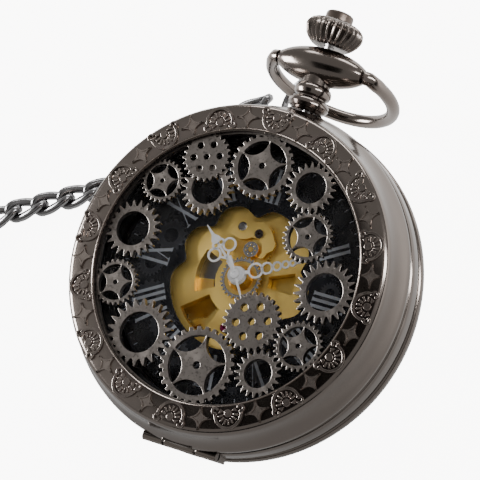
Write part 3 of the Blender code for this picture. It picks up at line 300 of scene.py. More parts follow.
def metal(name, colour, roughness, grain=0.03, scale=900.0, stretch=(1, 1, 1), tone=0.12, edge_wear_and_highlight=0.0,
          bump=0.0, metallic=1.0, pits=0.0):
    """Plated metal: cloudy tone, scattered roughness, fine scratches, and lighter edges that are partly
    rubbed plating and partly a painted highlight.
    """
    mat, tree, shader = nodes_of(name)
    link = tree.links.new
    where = add(tree, "ShaderNodeTexCoord")
    stretcher = add(tree, "ShaderNodeMapping", Scale=stretch)
    link(where.outputs["Object"], stretcher.inputs["Vector"])
    cloud = add(tree, "ShaderNodeTexNoise", Scale=scale * 0.25, Detail=3.0, Roughness=0.6)
    fine = add(tree, "ShaderNodeTexNoise", Scale=scale, Detail=4.0, Roughness=0.7)
    link(where.outputs["Object"], cloud.inputs["Vector"])
    link(stretcher.outputs["Vector"], fine.inputs["Vector"])
    mix = add(tree, "ShaderNodeMix", data_type="RGBA")
    dark = [c * (1 - tone) for c in colour]
    light = [min(1.0, c * (1 + tone)) for c in colour]
    mix.inputs["A"].default_value = (*dark, 1)
    mix.inputs["B"].default_value = (*light, 1)
    link(cloud.outputs["Fac"], mix.inputs["Factor"])
    base = mix.outputs["Result"]
    if edge_wear_and_highlight:
        # Painted highlight, partly also rubbed plating: where Pointiness finds a convex edge, the colour is
        # mixed towards a copy 2.2 times lighter.
        edge = add(tree, "ShaderNodeNewGeometry")
        ramp = add(tree, "ShaderNodeMapRange")
        ramp.inputs["From Min"].default_value = 0.515
        ramp.inputs["From Max"].default_value = 0.60
        ramp.inputs["To Max"].default_value = edge_wear_and_highlight
        link(edge.outputs["Pointiness"], ramp.inputs["Value"])
        rubbed_and_highlit = add(tree, "ShaderNodeMix", data_type="RGBA")
        rubbed_and_highlit.inputs["B"].default_value = (*[min(1.0, c * 2.2) for c in colour], 1)
        link(ramp.outputs["Result"], rubbed_and_highlit.inputs["Factor"])
        link(base, rubbed_and_highlit.inputs["A"])
        base = rubbed_and_highlit.outputs["Result"]
    if pits:
        spots = add(tree, "ShaderNodeTexNoise", Scale=scale * 1.4, Detail=2.0, Roughness=0.6)
        link(where.outputs["Object"], spots.inputs["Vector"])
        shade = add(tree, "ShaderNodeMapRange")
        shade.inputs["From Min"].default_value = 0.56
        shade.inputs["From Max"].default_value = 0.66
        shade.inputs["To Max"].default_value = pits
        link(spots.outputs["Fac"], shade.inputs["Value"])
        pitted = add(tree, "ShaderNodeMix", data_type="RGBA")
        pitted.inputs["B"].default_value = (*[c * 0.2 for c in colour], 1)
        link(shade.outputs["Result"], pitted.inputs["Factor"])
        link(base, pitted.inputs["A"])
        base = pitted.outputs["Result"]
    link(base, shader.inputs["Base Color"])
    rough = add(tree, "ShaderNodeMapRange")
    rough.inputs["To Min"].default_value = max(0.02, roughness - grain)
    rough.inputs["To Max"].default_value = roughness + grain
    link(fine.outputs["Fac"], rough.inputs["Value"])
    link(rough.outputs["Result"], shader.inputs["Roughness"])
    shader.inputs["Metallic"].default_value = metallic
    if bump:
        lift = add(tree, "ShaderNodeBump", Strength=bump, Distance=0.02 * MM)
        link(fine.outputs["Fac"], lift.inputs["Height"])
        link(lift.outputs["Normal"], shader.inputs["Normal"])
    return mat


def glass_mat(name, tint=(1, 1, 1)):
    """Thin clear crystal: lets light straight through and only reflects."""
    mat, tree, shader = nodes_of(name)
    link = tree.links.new
    clear = add(tree, "ShaderNodeBsdfTransparent")
    clear.inputs["Color"].default_value = (*tint, 1)
    shine = add(tree, "ShaderNodeBsdfGlossy", Roughness=0.03)
    smear = add(tree, "ShaderNodeTexNoise", Scale=120.0, Detail=3.0)
    where = add(tree, "ShaderNodeTexCoord")
    link(where.outputs["Object"], smear.inputs["Vector"])
    rough = add(tree, "ShaderNodeMapRange")
    rough.inputs["To Min"].default_value = 0.01
    rough.inputs["To Max"].default_value = 0.07
    link(smear.outputs["Fac"], rough.inputs["Value"])
    link(rough.outputs["Result"], shine.inputs["Roughness"])
    facing = add(tree, "ShaderNodeFresnel", IOR=1.22)
    both = add(tree, "ShaderNodeMixShader")
    link(facing.outputs["Fac"], both.inputs["Fac"])
    link(clear.outputs["BSDF"], both.inputs[1])
    link(shine.outputs["BSDF"], both.inputs[2])
    link(both.outputs["Shader"], tree.nodes["Material Output"].inputs["Surface"])
    tree.nodes.remove(shader)
    return mat


MATS = {}


def make_materials():
    c = colours()
    gun, lat, gold = tuple(c.gunmetal), tuple(c.lattice), tuple(c.gold)
    MATS["rim"] = metal("rim_gunmetal", gun, 0.16, 0.04, 700, tone=0.10, edge_wear_and_highlight=0.35)
    MATS["band"] = metal("band_gunmetal", gun, 0.15, 0.04, 600, tone=0.10, edge_wear_and_highlight=0.3)
    MATS["ornament"] = metal("ornament_gunmetal", [v * 1.15 for v in gun], 0.24, 0.06, 1500, edge_wear_and_highlight=0.7,
                             bump=0.2)
    MATS["lattice"] = metal("lattice_gunmetal", lat, 0.30, 0.06, 1800, (1, 1, 1), 0.25, 0.8, 0.3, pits=0.55)
    MATS["bow"] = metal("bow_gunmetal", gun, 0.17, 0.05, 800, tone=0.12, edge_wear_and_highlight=0.3, bump=0.05)
    MATS["crown"] = metal("crown_gunmetal", [v * 0.85 for v in gun], 0.26, 0.06, 1400, edge_wear_and_highlight=0.8, bump=0.2)
    MATS["button"] = metal("button_bronze", (0.085, 0.068, 0.058), 0.33, 0.06, 900, (1, 1, 1), 0.2, 0.3, 0.2)
    MATS["gold"] = metal("gold_grained", gold, 0.5, 0.14, 1300, (7, 0.5, 1), 0.16, 0.2, 0.6)
    MATS["gold_wheel"] = metal("gold_wheel", [v * 0.92 for v in gold], 0.32, 0.05, 2600, edge_wear_and_highlight=0.3, bump=0.1)
    MATS["steel"] = metal("bright_steel", (0.62, 0.62, 0.64), 0.22, 0.06, 2200, (7, 1, 1), 0.12, 0.3, 0.15)
    MATS["dark_steel"] = metal("shaded_steel", (0.22, 0.21, 0.21), 0.3, 0.06, 1500, tone=0.2)
    MATS["hands"] = metal("silvered_hands", tuple(c.hands), 0.4, 0.05, 2500, tone=0.04, bump=0.05,
                          metallic=0.1)
    MATS["chain"] = metal("antique_silver", tuple(c.chain), 0.22, 0.07, 900, tone=0.25, edge_wear_and_highlight=0.5, bump=0.1)
    MATS["dial"] = metal("dial_black", (0.012, 0.013, 0.017), 0.22, 0.04, 1200, tone=0.4, bump=0.03,
                         metallic=0.0)
    MATS["print"] = metal("dial_print", (0.035, 0.037, 0.045), 0.4, 0.06, 1500, tone=0.3, metallic=0.0)
    MATS["numeral"] = metal("numeral_silver", (0.42, 0.45, 0.50), 0.4, 0.05, 1500, tone=0.15, metallic=0.2)
    MATS["ruby"] = metal("ruby", (0.36, 0.03, 0.13), 0.08, 0.02, 1500, tone=0.3, metallic=0.0)
    MATS["dark_jewel"] = metal("dark_jewel", (0.07, 0.055, 0.05), 0.1, 0.03, 2500, tone=0.8, metallic=0.3)
    # Painted shade: near black for parts deep inside the case, under the cover, where shade falls; used on
    # the bezel and the movement ring.
    MATS["inner"] = metal("near_black_painted_shade", (0.02, 0.02, 0.022), 0.35, 0.06, 900, tone=0.3, metallic=0.4)
    MATS["glass"] = glass_mat("crystal_glass")


# ================================================================ chain
CHAIN_D = 3.6 * MM
CHAIN_ROUTE = [(-12.3, 22.2), (-14.5, 19.2), (-18.5, 14.7), (-23.0, 9.2), (-27.0, 5.4), (-30.4, 2.6),
               (-36.0, -0.8), (-42.6, -4.9), (-46.6, -9.2), (-48.7, -14.0), (-49.5, -19.0), (-49.6, -23.6)]
COIL_CENTRE = (-76.5, -19.0)
COIL_OUT, COIL_IN, COIL_ENTRY = 22.9, 14.0, 27.2
LINK_TWIST, LINK_TILT = math.radians(-120), math.radians(12)


def smooth_route(points, samples):
    """Points along a smooth curve through the route's own points."""
    ends = [points[0], *points, points[-1]]
    line = []
    for i in range(1, len(points)):
        p0, p1, p2, p3 = ends[i - 1], ends[i], ends[i + 1], ends[min(i + 2, len(ends) - 1)]
        for k in range(samples):
            t = k / samples
            line.append(tuple(0.5 * (2 * b + (c - a) * t + (2 * a - 5 * b + 4 * c - d) * t * t
                                     + (3 * b - a - 3 * c + d) * t ** 3)
                              for a, b, c, d in zip(p0, p1, p2, p3)))
    return line + [points[-1]]


def chain_path():
    """The chain's centre line, in metres: its free stretch, then the coil's spiral inwards."""
    line = smooth_route(CHAIN_ROUTE, 6)
    start = math.atan2(line[-1][1] - COIL_CENTRE[1], line[-1][0] - COIL_CENTRE[0])
    turns, steps = 2.75, 132
    lead_in = 0.3
    for i in range(1, steps + 1):
        turn = turns * i / steps
        if turn < lead_in:
            ease = 0.5 - 0.5 * math.cos(math.pi * turn / lead_in)
            radius = COIL_ENTRY + (COIL_OUT - COIL_ENTRY) * ease
        else:
            radius = COIL_OUT + (COIL_IN - COIL_OUT) * (turn - lead_in) / (turns - lead_in)
        line.append(polar(radius, start - math.tau * turn, COIL_CENTRE))
    return [Vector((x * MM, y * MM, CHAIN_D / 2)) for x, y in line]


def evenly(line, pitch):
    """Stops a pitch apart along a line, each with its direction."""
    stops, want, run = [], pitch * 0.6, 0.0
    for a, b in zip(line, line[1:]):
        long = (b - a).length
        while want <= run + long:
            stops.append((a.lerp(b, (want - run) / long), (b - a).normalized()))
            want += pitch
        run += long
    return stops, run


class WATCH_OT_chain(bpy.types.Operator):
    """Curb chain: one flattened, twisted link copied along the route and round the coil."""
    bl_idname = "watch.chain"
    bl_label = "Chain"

    def execute(self, context):
        line = chain_path()
        wire, pitch = sizes().link_wire, sizes().link_pitch
        stops, length = evenly(line, pitch)
        clear_selection()
        bpy.ops.curve.primitive_bezier_circle_add(radius=(CHAIN_D - wire) / 2)
        link = bpy.context.object
        link.data.resolution_u = 8
        link.data.bevel_depth, link.data.bevel_resolution = wire / 2, 2
        bpy.ops.object.mode_set(mode="EDIT")
        bpy.ops.curve.select_all(action="SELECT")
        bpy.ops.transform.resize(value=((pitch + 1.2 * wire) / (CHAIN_D - wire), 1, 1))
        bpy.ops.object.mode_set(mode="OBJECT")
        bpy.ops.object.convert(target="MESH")
        link = bpy.context.object
        twist = link.modifiers.new("Twist", "SIMPLE_DEFORM")
        twist.deform_method, twist.deform_axis, twist.angle = "TWIST", "X", LINK_TWIST
        bpy.ops.object.modifier_apply(modifier=twist.name)
        links = [link]
        for number, (spot, way) in enumerate(stops):
            piece = link if number == 0 else link.copy()
            if number:
                piece.data = link.data.copy()
                context.collection.objects.link(piece)
                links.append(piece)
            side = Vector((-way.y, way.x, 0))
            base = Matrix((way, side, Vector((0, 0, 1)))).transposed().to_4x4()
            piece.matrix_world = Matrix.Translation(spot) @ base @ Matrix.Rotation(LINK_TILT, 4, "X")
        pick(*links)
        bpy.ops.object.transform_apply()
        chain = joined(*links)
        pick(chain)
        bpy.ops.object.shade_smooth()
        settled(chain, "curb_chain", MATS["chain"], "case", "chain", "chain_coil", slot="antique_silver")
        paint("chain_clasp", "chain")
        return {"FINISHED"}


def paint(node, mat):
    """Give a CAD node a finished material, in every slot it has."""
    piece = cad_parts[node]
    soften = piece.modifiers.new("Soft edges", "BEVEL")
    soften.width, soften.segments = 0.06 * MM, 2
    soften.limit_method, soften.angle_limit = "ANGLE", math.radians(50)
    for number in range(len(piece.material_slots)):
        piece.material_slots[number].material = MATS[mat]


# ================================================================ case
KNUCKLE_R = 0.72 * MM
HINGE_Y, HINGE_Z = -23.35 * MM, 1.87 * MM


class WATCH_OT_case(bpy.types.Operator):
    """Turned case rings, the back, both crystals and the hinge's knuckles."""
    bl_idname = "watch.case"
    bl_label = "Case"

    def execute(self, context):
        band = spun([(20.5 * MM, 1.7 * MM), (23.2 * MM, 1.7 * MM), (23.5 * MM, 1.45 * MM),
                     (23.62 * MM, 0.9 * MM), (23.62 * MM, -0.6 * MM), (23.5 * MM, -1.05 * MM),
                     (23.3 * MM, -1.2 * MM), (20.5 * MM, -1.2 * MM)], rounding=0.08 * MM)
        room = rod(KNUCKLE_R + 0.3 * MM, -2.5 * MM, 2.5 * MM, (HINGE_Y, HINGE_Z), axis="X")
        stem = rod(0.9 * MM, 19 * MM, 26 * MM, axis="Y")
        catch = bar(-1.9 * MM, 1.9 * MM, 20.4 * MM, 22.3 * MM, 0.9 * MM, 2.0 * MM)
        band = cut(band, room, stem, catch)
        lugs = []
        for side in (-1, 1):
            near, far = sorted((side * 2.5 * MM, side * 5.5 * MM))
            lug = rod(KNUCKLE_R, near, far, (HINGE_Y, HINGE_Z), axis="X")
            foot = bar(near, far, HINGE_Y - 0.5 * MM, HINGE_Y + 0.9 * MM, -0.9 * MM, 1.72 * MM)
            lugs += [bevelled(lug, 0.08 * MM), bevelled(foot, 0.08 * MM)]
        seated(joined(band, *lugs), "case_middle", MATS["band"], "case", "case_band", slot="gunmetal")
        back = spun([(21.0 * MM, -1.5 * MM), (23.5 * MM, -1.5 * MM), (23.8 * MM, -1.9 * MM),
                     (23.72 * MM, -2.9 * MM), (23.4 * MM, -3.75 * MM), (22.8 * MM, -4.6 * MM),
                     (21.6 * MM, -5.7 * MM), (19.8 * MM, -6.75 * MM), (18.2 * MM, -7.1 * MM),
                     (15.9 * MM, -7.1 * MM), (15.9 * MM, -6.3 * MM), (17.3 * MM, -6.3 * MM),
                     (17.3 * MM, -5.3 * MM), (20.2 * MM, -3.6 * MM)], rounding=0.25 * MM, segments=3)
        seated(back, "case_back", MATS["band"], "case", "back_cover", slot="gunmetal")
        bezel = spun([(18.7 * MM, 5.6 * MM), (19.4 * MM, 5.6 * MM), (20.6 * MM, 4.6 * MM),
                      (21.4 * MM, 3.2 * MM), (21.4 * MM, 2.0 * MM), (17.8 * MM, 2.0 * MM),
                      (17.8 * MM, 4.5 * MM), (18.7 * MM, 4.5 * MM)], rounding=0.12 * MM)
        bezel = cut(bezel, bar(-1.9 * MM, 1.9 * MM, 20.4 * MM, 23.0 * MM, 1.0 * MM, 3.05 * MM))
        # The gunmetal bezel gets the near-black painted shade of the case's inside.
        seated(bezel, "glass_bezel", MATS["inner"], "case", "crystal_bezel", slot="gunmetal")
        crystal = spun([(0, 5.8 * MM), (6 * MM, 5.77 * MM), (12 * MM, 5.7 * MM), (18.1 * MM, 5.56 * MM),
                        (18.4 * MM, 5.35 * MM), (18.4 * MM, 4.8 * MM), (0, 4.8 * MM)], 96)
        seated(crystal, "front_glass", MATS["glass"], "case", "front_crystal", slot="glass")
        paint("back_crystal", "glass")
        for node in ("cover_hinge_pin", "cover_catch"):
            paint(node, "steel")
        return {"FINISHED"}


class WATCH_OT_cover(bpy.types.Operator):
    """Cover ring: flat ornamented top, rounded shoulder, hollow polished slope and thin edge."""
    bl_idname = "watch.cover"
    bl_label = "Cover ring"

    def execute(self, context):
        slope = [(21.5, 7.9), (21.85, 7.78), (22.12, 7.5), (22.25, 7.15), (22.32, 6.75), (22.38, 6.2),
                 (22.5, 5.5), (22.68, 4.8), (22.95, 4.1), (23.28, 3.45), (23.5, 3.05), (23.56, 2.75),
                 (23.52, 2.35), (23.3, 2.1)]
        inside = [(22.3, 2.05), (21.95, 3.6), (21.5, 5.6), (20.6, 6.3), (20.6, 7.6), (18.42, 7.6),
                  (18.42, 7.9)]
        rim = spun([(r * MM, z * MM) for r, z in slope + inside], 200)
        relief = rod(KNUCKLE_R + 0.3 * MM, -5.8 * MM, 5.8 * MM, (HINGE_Y, HINGE_Z), axis="X")
        notch = bar(-1.6 * MM, 1.6 * MM, 21.0 * MM, 22.7 * MM, 1.7 * MM, 3.1 * MM)
        rim = cut(rim, relief, notch)
        knuckle = bevelled(rod(KNUCKLE_R, -2.2 * MM, 2.2 * MM, (HINGE_Y, HINGE_Z), axis="X"), 0.08 * MM)
        arm = bevelled(bar(-2.2 * MM, 2.2 * MM, HINGE_Y - 0.1 * MM, HINGE_Y + 1.0 * MM, HINGE_Z + 0.2 * MM,
                           HINGE_Z + 1.5 * MM), 0.08 * MM)
        seated(joined(rim, knuckle, arm), "cover_ring", MATS["rim"], "cover", "cover_rim", slot="gunmetal")
        return {"FINISHED"}


def raised(points, width, low, high):
    """A raised line: a flat-topped strip along the points."""
    left, right = [], []
    for i, (x, y) in enumerate(points):
        ax, ay = points[max(i - 1, 0)]
        bx, by = points[min(i + 1, len(points) - 1)]
        long = math.hypot(bx - ax, by - ay)
        nx, ny = -(by - ay) / long * width / 2, (bx - ax) / long * width / 2
        left.append((x + nx, y + ny))
        right.append((x - nx, y - ny))
    return plate([left + right[::-1]], low, high)


ORNAMENT_R = 20.2 * MM
ORNAMENT_COUNT = 16
BEAD_R = 18.62 * MM                  # fine raised line round the cover's opening
COVER_TOP = 7.9 * MM


class WATCH_OT_ornament(bpy.types.Operator):
    """Raised band on the cover: ribbed fans turned in and out by turns, four-point stars between."""
    bl_idname = "watch.ornament"
    bl_label = "Cover ornament"

    def fan(self, low, high):
        """One fan: a domed shell outline, ribs, a round foot, two curled ends and a leaf each side."""
        reach, foot = 1.55 * MM, (0, -0.7 * MM)
        edge = [polar(reach, math.radians(-10 + 200 * i / 24), foot) for i in range(25)]
        parts = [raised(edge, 0.3 * MM, low, high)]
        dome = [polar(0.42 * MM, math.tau * i / 16, foot) for i in range(16)]
        parts.append(plate([dome], low, high))
        for i in range(7):
            angle = math.radians(12 + 26 * i)
            parts.append(raised([polar(0.62 * MM, angle, foot), polar(1.2 * MM, angle, foot)],
                                0.2 * MM, low, high - 0.05 * MM))
        for side in (-1, 1):
            curl = [(side * (1.5 + 0.34 * math.cos(math.radians(v))) * MM,
                     (-1.1 + 0.34 * math.sin(math.radians(v))) * MM) for v in range(-170, 121, 29)]
            parts.append(raised(curl, 0.24 * MM, low, high))
            leaf = [(side * 0.45 * MM, -0.95 * MM), (side * 0.85 * MM, -1.25 * MM),
                    (side * 1.1 * MM, -0.8 * MM)]
            parts.append(plate([leaf], low, high - 0.06 * MM))
        fan = joined(*parts)
        edit(fan)
        bpy.ops.transform.resize(value=(1.16, 1.26, 1), center_override=(0, 0, 0))
        bpy.ops.transform.translate(value=(0, 0.33 * MM, 0))
        bpy.ops.object.mode_set(mode="OBJECT")
        return fan

    def star(self, low, high):
        """A four-point star with hollow sides."""
        around = [math.tau * i / 40 for i in range(40)]
        size, hollow = 1.6 * MM, 4.0
        line = [(size * math.copysign(abs(math.cos(a)) ** hollow, math.cos(a)),
                 size * math.copysign(abs(math.sin(a)) ** hollow, math.sin(a))) for a in around]
        outline = raised(line + line[:1], 0.16 * MM, low, high)
        return joined(plate([[(x * 0.9, y * 0.9) for x, y in line]], low, high - 0.1 * MM), outline)

    def execute(self, context):
        low, high = COVER_TOP - 0.05 * MM, COVER_TOP + sizes().ornament
        fan = bevelled(self.fan(low, high), 0.055 * MM)
        star = bevelled(self.star(low, high), 0.04 * MM)
        pieces = []
        count = ORNAMENT_COUNT
        for i in range(count):
            angle = math.radians(90) + math.tau * i / count
            facing = -math.pi / 2 if i % 2 else math.pi / 2
            for pattern, turn, spin in ((fan, angle, facing), (star, angle + math.pi / count, 0)):
                copy = pattern.copy()
                copy.data = pattern.data.copy()
                context.collection.objects.link(copy)
                copy.matrix_world = (Matrix.Rotation(turn, 4, "Z") @ Matrix.Translation((ORNAMENT_R, 0, 0))
                                     @ Matrix.Rotation(spin, 4, "Z"))
                pieces.append(copy)
        for pattern in (fan, star):
            bpy.data.objects.remove(pattern)
        pick(*pieces)
        bpy.ops.object.transform_apply()
        band = joined(*pieces)
        bead, half = BEAD_R, 0.07 * MM
        side = high - 0.08 * MM
        ring = spun([(bead - half, side), (bead, high - 0.03 * MM), (bead + half, side),
                     (bead + half, low), (bead - half, low)])
        seated(joined(band, ring), "cover_ornament", MATS["ornament"], "cover", slot="gunmetal")
        return {"FINISHED"}


# style, x, y, tip radius (mm), teeth, one tooth's direction (degrees), height step (mm), tooth shape
LATTICE = [
    ("disc", -8.0, 13.4, 3.35, 24, 120, 0.20, "fine"),
    ("star", -13.0, 8.8, 2.95, 26, 146, 0.03, "fine"),
    ("ring", -6.55, 9.5, 3.7, 22, 90, -0.12, "pointed"),
    ("star", -0.1, 14.2, 4.4, 26, 90, 0.00, "square"),
    ("ring", 7.55, 13.05, 3.5, 22, -73.6, 0.05, "pointed"),
    ("star", 9.4, 6.75, 3.45, 28, 106.4, 0.00, "fine"),
    ("ring", 14.15, 0.45, 4.2, 24, 2, 0.03, "pointed"),
    ("disc", 5.95, -5.85, 4.0, 26, -62.3, 0.05, "fine"),
    ("star", 13.2, -7.2, 3.35, 26, -28, 0.00, "fine"),
    ("ring", 9.2, -12.05, 3.2, 20, 117.7, 0.02, "pointed"),
    ("star", 0.7, -13.3, 5.2, 28, -86, 0.04, "square"),
    ("ring", -8.7, -11.35, 4.6, 22, -127, 0.01, "pointed"),
    ("star", -14.4, -5.9, 3.15, 26, -158, 0.05, "fine"),
    ("ring", -14.7, 1.6, 3.9, 22, 174, 0.02, "pointed"),
]
LATTICE_TOP = 7.2 * MM
LATTICE_THICK = 0.9 * MM
SEAT_OUT, SEAT_IN = 20.3 * MM, 18.2 * MM


class WATCH_OT_lattice(bpy.types.Operator):
    """The cover's gears: open rings, drilled discs and five-pointed stars on a thin seat ring."""
    bl_idname = "watch.lattice"
    bl_label = "Gear lattice"

    def execute(self, context):
        gears = [plate([circle(SEAT_OUT, steps=96), circle(SEAT_IN, steps=96)], LATTICE_TOP - 0.8 * MM,
                       LATTICE_TOP - 0.03 * MM)]
        for style, x, y, tip, teeth, aim, step, shape in LATTICE:
            centre, tip, aim = (x * MM, y * MM), tip * MM, math.radians(aim)
            top = LATTICE_TOP + step * MM
            deep = {"pointed": 0.21, "square": 0.09, "fine": 0.12}[shape] * tip
            holes = []
            if style == "ring":
                holes = [circle(0.60 * tip, centre, 40)]
            elif style == "disc":
                holes = [circle(0.135 * tip, polar(0.55 * tip, math.tau * i / 6 + 0.3, centre), 16)
                         for i in range(6)]
                holes.append(circle(0.12 * tip, centre, 14))
            else:
                fifth = math.tau / 5
                holes = [lens(0.77 * tip, 0.40 * tip, math.pi / 2 + fifth * (i + 0.5), 0.475 * fifth, centre)
                         for i in range(5)]
                holes.append(circle(0.10 * tip, centre, 14))
            gear = plate([tooth_line(tip, tip - deep, teeth, aim, shape, centre), *holes],
                         top - LATTICE_THICK, top)
            gears.append(bevelled(gear, 0.05 * MM))
        seated(joined(*gears), "gear_lattice", MATS["lattice"], "cover", "gear_grille",
               slot="lattice_gunmetal")
        return {"FINISHED"}


# ================================================================ dial
DIAL_TOP = 2.0 * MM


def stroke(a, b, width, low, high):
    return raised([a, b], width, low, high)


class WATCH_OT_dial(bpy.types.Operator):
    """Black dial with a scalloped window, printed gears and long Roman numerals."""
    bl_idname = "watch.dial"
    bl_label = "Dial"

    def opening(self):
        notches = [math.radians(a) for a in (95, 137, 177, 20, -28, -70)]
        line, steps = [], 150
        for i in range(steps):
            angle = math.tau * i / steps
            radius = 9.9 * MM
            for notch in notches:
                off = (angle - notch + math.pi) % math.tau - math.pi
                radius -= 1.5 * MM * math.exp(-(off / math.radians(9)) ** 2)
            line.append(polar(radius, angle))
        return line

    def numeral(self, letters, low, high):
        """Strokes of one Roman numeral, upright round the origin, feet towards the centre."""
        tall, thick, thin = 4.6 * MM, 0.42 * MM, 0.13 * MM
        widths = {"I": 0.85 * MM, "V": 1.9 * MM, "X": 1.8 * MM}
        total = sum(widths[c] for c in letters)
        x = -total / 2
        parts = []
        for letter in letters:
            mid, half = x + widths[letter] / 2, widths[letter] / 2 - 0.2 * MM
            if letter == "I":
                lines = [((mid, -tall / 2), (mid, tall / 2), thick)]
                serifs = [mid]
            elif letter == "V":
                lines = [((mid - half, tall / 2), (mid, -tall / 2), thick),
                         ((mid + half, tall / 2), (mid, -tall / 2), thin)]
                serifs = [mid - half, mid + half]
            else:
                lines = [((mid - half, tall / 2), (mid + half, -tall / 2), thick),
                         ((mid + half, tall / 2), (mid - half, -tall / 2), thin)]
                serifs = [mid - half, mid + half]
            for number, (a, b, width) in enumerate(lines):
                parts.append(stroke(a, b, width, low, high + 0.004 * MM * number))
            for at in serifs:
                for end in (-1, 1):
                    if letter == "V" and end < 0:
                        continue
                    foot = end * tall / 2
                    parts.append(stroke((at - 0.3 * MM, foot), (at + 0.3 * MM, foot), thin,
                                        low, high + 0.008 * MM))
            x += widths[letter]
        return joined(*parts)

    def execute(self, context):
        top = DIAL_TOP
        face = plate([circle(17.4 * MM, steps=128), self.opening()], top - 0.4 * MM, top, 0.06 * MM)
        seated(face, "dial_face", MATS["dial"], "case", "dial", slot="dial_black")
        low, high = top + 0.004 * MM, top + 0.04 * MM
        parts = []
        for hour, letters in enumerate(("I", "II", "III", "IIII", "V", "VI", "VII", "VIII", "IX", "X", "XI",
                                        "XII"), 1):
            numeral = self.numeral(letters, low, high)
            angle = math.pi / 2 - math.tau * hour / 12
            numeral.matrix_world = (Matrix.Translation((*polar(13.0 * MM, angle), 0))
                                    @ Matrix.Rotation(angle - math.pi / 2, 4, "Z"))
            parts.append(numeral)
        pick(*parts)
        bpy.ops.object.transform_apply()
        ticks = []
        for minute in range(60):
            angle = math.tau * minute / 60
            ticks.append(stroke(polar(16.3 * MM, angle), polar(16.9 * MM, angle), 0.12 * MM, low, high))
        seated(joined(*parts, *ticks), "dial_numerals", MATS["numeral"], "case", slot="silvered_hand")
        prints = []
        random.seed(7)
        for number in range(18):
            angle = math.tau * number / 18 + 0.1
            centre = polar(random.uniform(11.8, 15.0) * MM, angle)
            tip = random.uniform(1.3, 2.4) * MM
            teeth = random.choice((14, 16, 20))
            level = low - 0.003 * MM + 0.0006 * MM * number
            prints.append(plate([tooth_line(tip, tip * 0.84, teeth, 0, "square", centre),
                                 circle(tip * 0.45, centre, 24)], top - 0.05 * MM, level))
        seated(joined(*prints), "dial_gear_print", MATS["print"], "case", slot="dial_black")
        return {"FINISHED"}


# ================================================================ movement and hands
class WATCH_OT_movement(bpy.types.Operator):
    """Finishes for the movement's pieces and the small fittings on its plate."""
    bl_idname = "watch.movement"
    bl_label = "Movement"

    def execute(self, context):
        for node in ("main_plate", "keyless_bridge", "barrel_bridge", "train_bridge", "balance_cock"):
            paint(node, "gold")
        for node in ("hour_wheel", "minute_wheel", "barrel", "centre_wheel", "third_wheel", "fourth_wheel",
                     "balance_wheel"):
            paint(node, "gold_wheel")
        for node in ("cannon_pinion", "ratchet_wheel", "crown_wheel", "click",
                     "escape_wheel", "pallet_fork", "hairspring", "winding_stem"):
            paint(node, "steel")
        # The movement ring gets the near-black painted shade of the case's inside.
        paint("movement_ring", "inner")
        slot_screw = spun([(0, 2.12 * MM), (0.5 * MM, 2.12 * MM), (0.62 * MM, 2.02 * MM),
                           (0.62 * MM, 1.87 * MM), (0.22 * MM, 1.87 * MM), (0.22 * MM, 0.2 * MM),
                           (0, 0.2 * MM)], 40)
        slot_screw = cut(slot_screw, bar(-0.8 * MM, 0.8 * MM, -0.07 * MM, 0.07 * MM, 2.03 * MM, 2.3 * MM))
        slot_screw.matrix_world = Matrix.Translation((-2.2 * MM, 6.7 * MM, 0)) @ Matrix.Rotation(0.3, 4, "Z")
        pick(slot_screw)
        bpy.ops.object.transform_apply()
        seated(slot_screw, "bridge_screw", MATS["steel"], "case", "keyless_screw", slot="steel")
        low = 1.86 * MM
        cap = plate([circle(1.05 * MM, steps=40), *[circle(0.1 * MM, polar(0.66 * MM, math.tau * i / 7), 10)
                                                    for i in range(7)]], low, low + 0.07 * MM, 0.02 * MM)
        hub = spun([(0, low + 0.2 * MM), (0.3 * MM, low + 0.2 * MM), (0.36 * MM, low + 0.14 * MM),
                    (0.36 * MM, low + 0.08 * MM), (0, low + 0.08 * MM)], 32)
        for thing, name, mat in ((cap, "minute_wheel_cap", "steel"), (hub, "minute_wheel_hub", "gold_wheel")):
            thing.matrix_world = Matrix.Translation((0, 4.05 * MM, 0))
            pick(thing)
            bpy.ops.object.transform_apply()
            seated(thing, name, MATS[mat], "minute_wheel", slot="steel")
        paint("plate_jewel", "ruby")
        paint("bridge_jewel", "dark_jewel")
        ring = plate([tooth_line(2.9 * MM, 2.62 * MM, 30, 0, "square"), circle(2.3 * MM, steps=48)], 1.8 * MM,
                     1.87 * MM)
        seated(ring, "hour_wheel_rim", MATS["steel"], "hour", slot="steel")
        floor = plate([[polar(7.5 * MM, math.radians(151 + 3.2 * i)) for i in range(21)]
                       + [polar(3.5 * MM, math.radians(215 - 3.2 * i)) for i in range(21)]],
                      -0.75 * MM, -0.41 * MM, 0.03 * MM)
        seated(floor, "window_floor", MATS["dark_steel"], "case", slot="steel")
        strip = plate([[polar(6.9 * MM, math.radians(190 + 1.8 * i)) for i in range(13)]
                       + [polar(4.6 * MM, math.radians(211.6 - 1.8 * i)) for i in range(13)]],
                      -0.42 * MM, -0.2 * MM, 0.03 * MM)
        seated(strip, "window_floor_strip", MATS["gold_wheel"], "case", slot="gold_plate")
        return {"FINISHED"}


def filigree(start, loops, spade, low, high, hub, bore, line=0.26 * MM):
    """A hand along +X: stalk, open loops, a spade and a fine point, on a round hub."""
    parts = [spun([(bore, high + 0.1 * MM), (hub - 0.05 * MM, high + 0.1 * MM), (hub, high + 0.04 * MM),
                   (hub, low), (bore, low)], 40)]
    for x, y, radius in loops:
        ring = [(radius - line / 2, high), (radius + line / 2, high), (radius + line / 2, low),
                (radius - line / 2, low)]
        parts.append(spun(ring, 32, centre=(x, y, 0)))
    for points, width in start:
        parts.append(raised(points, width, low + 0.002 * MM, high + 0.004 * MM))
    for outline in spade:
        parts.append(plate([outline], low + 0.004 * MM, high + 0.008 * MM))
    return joined(*parts)


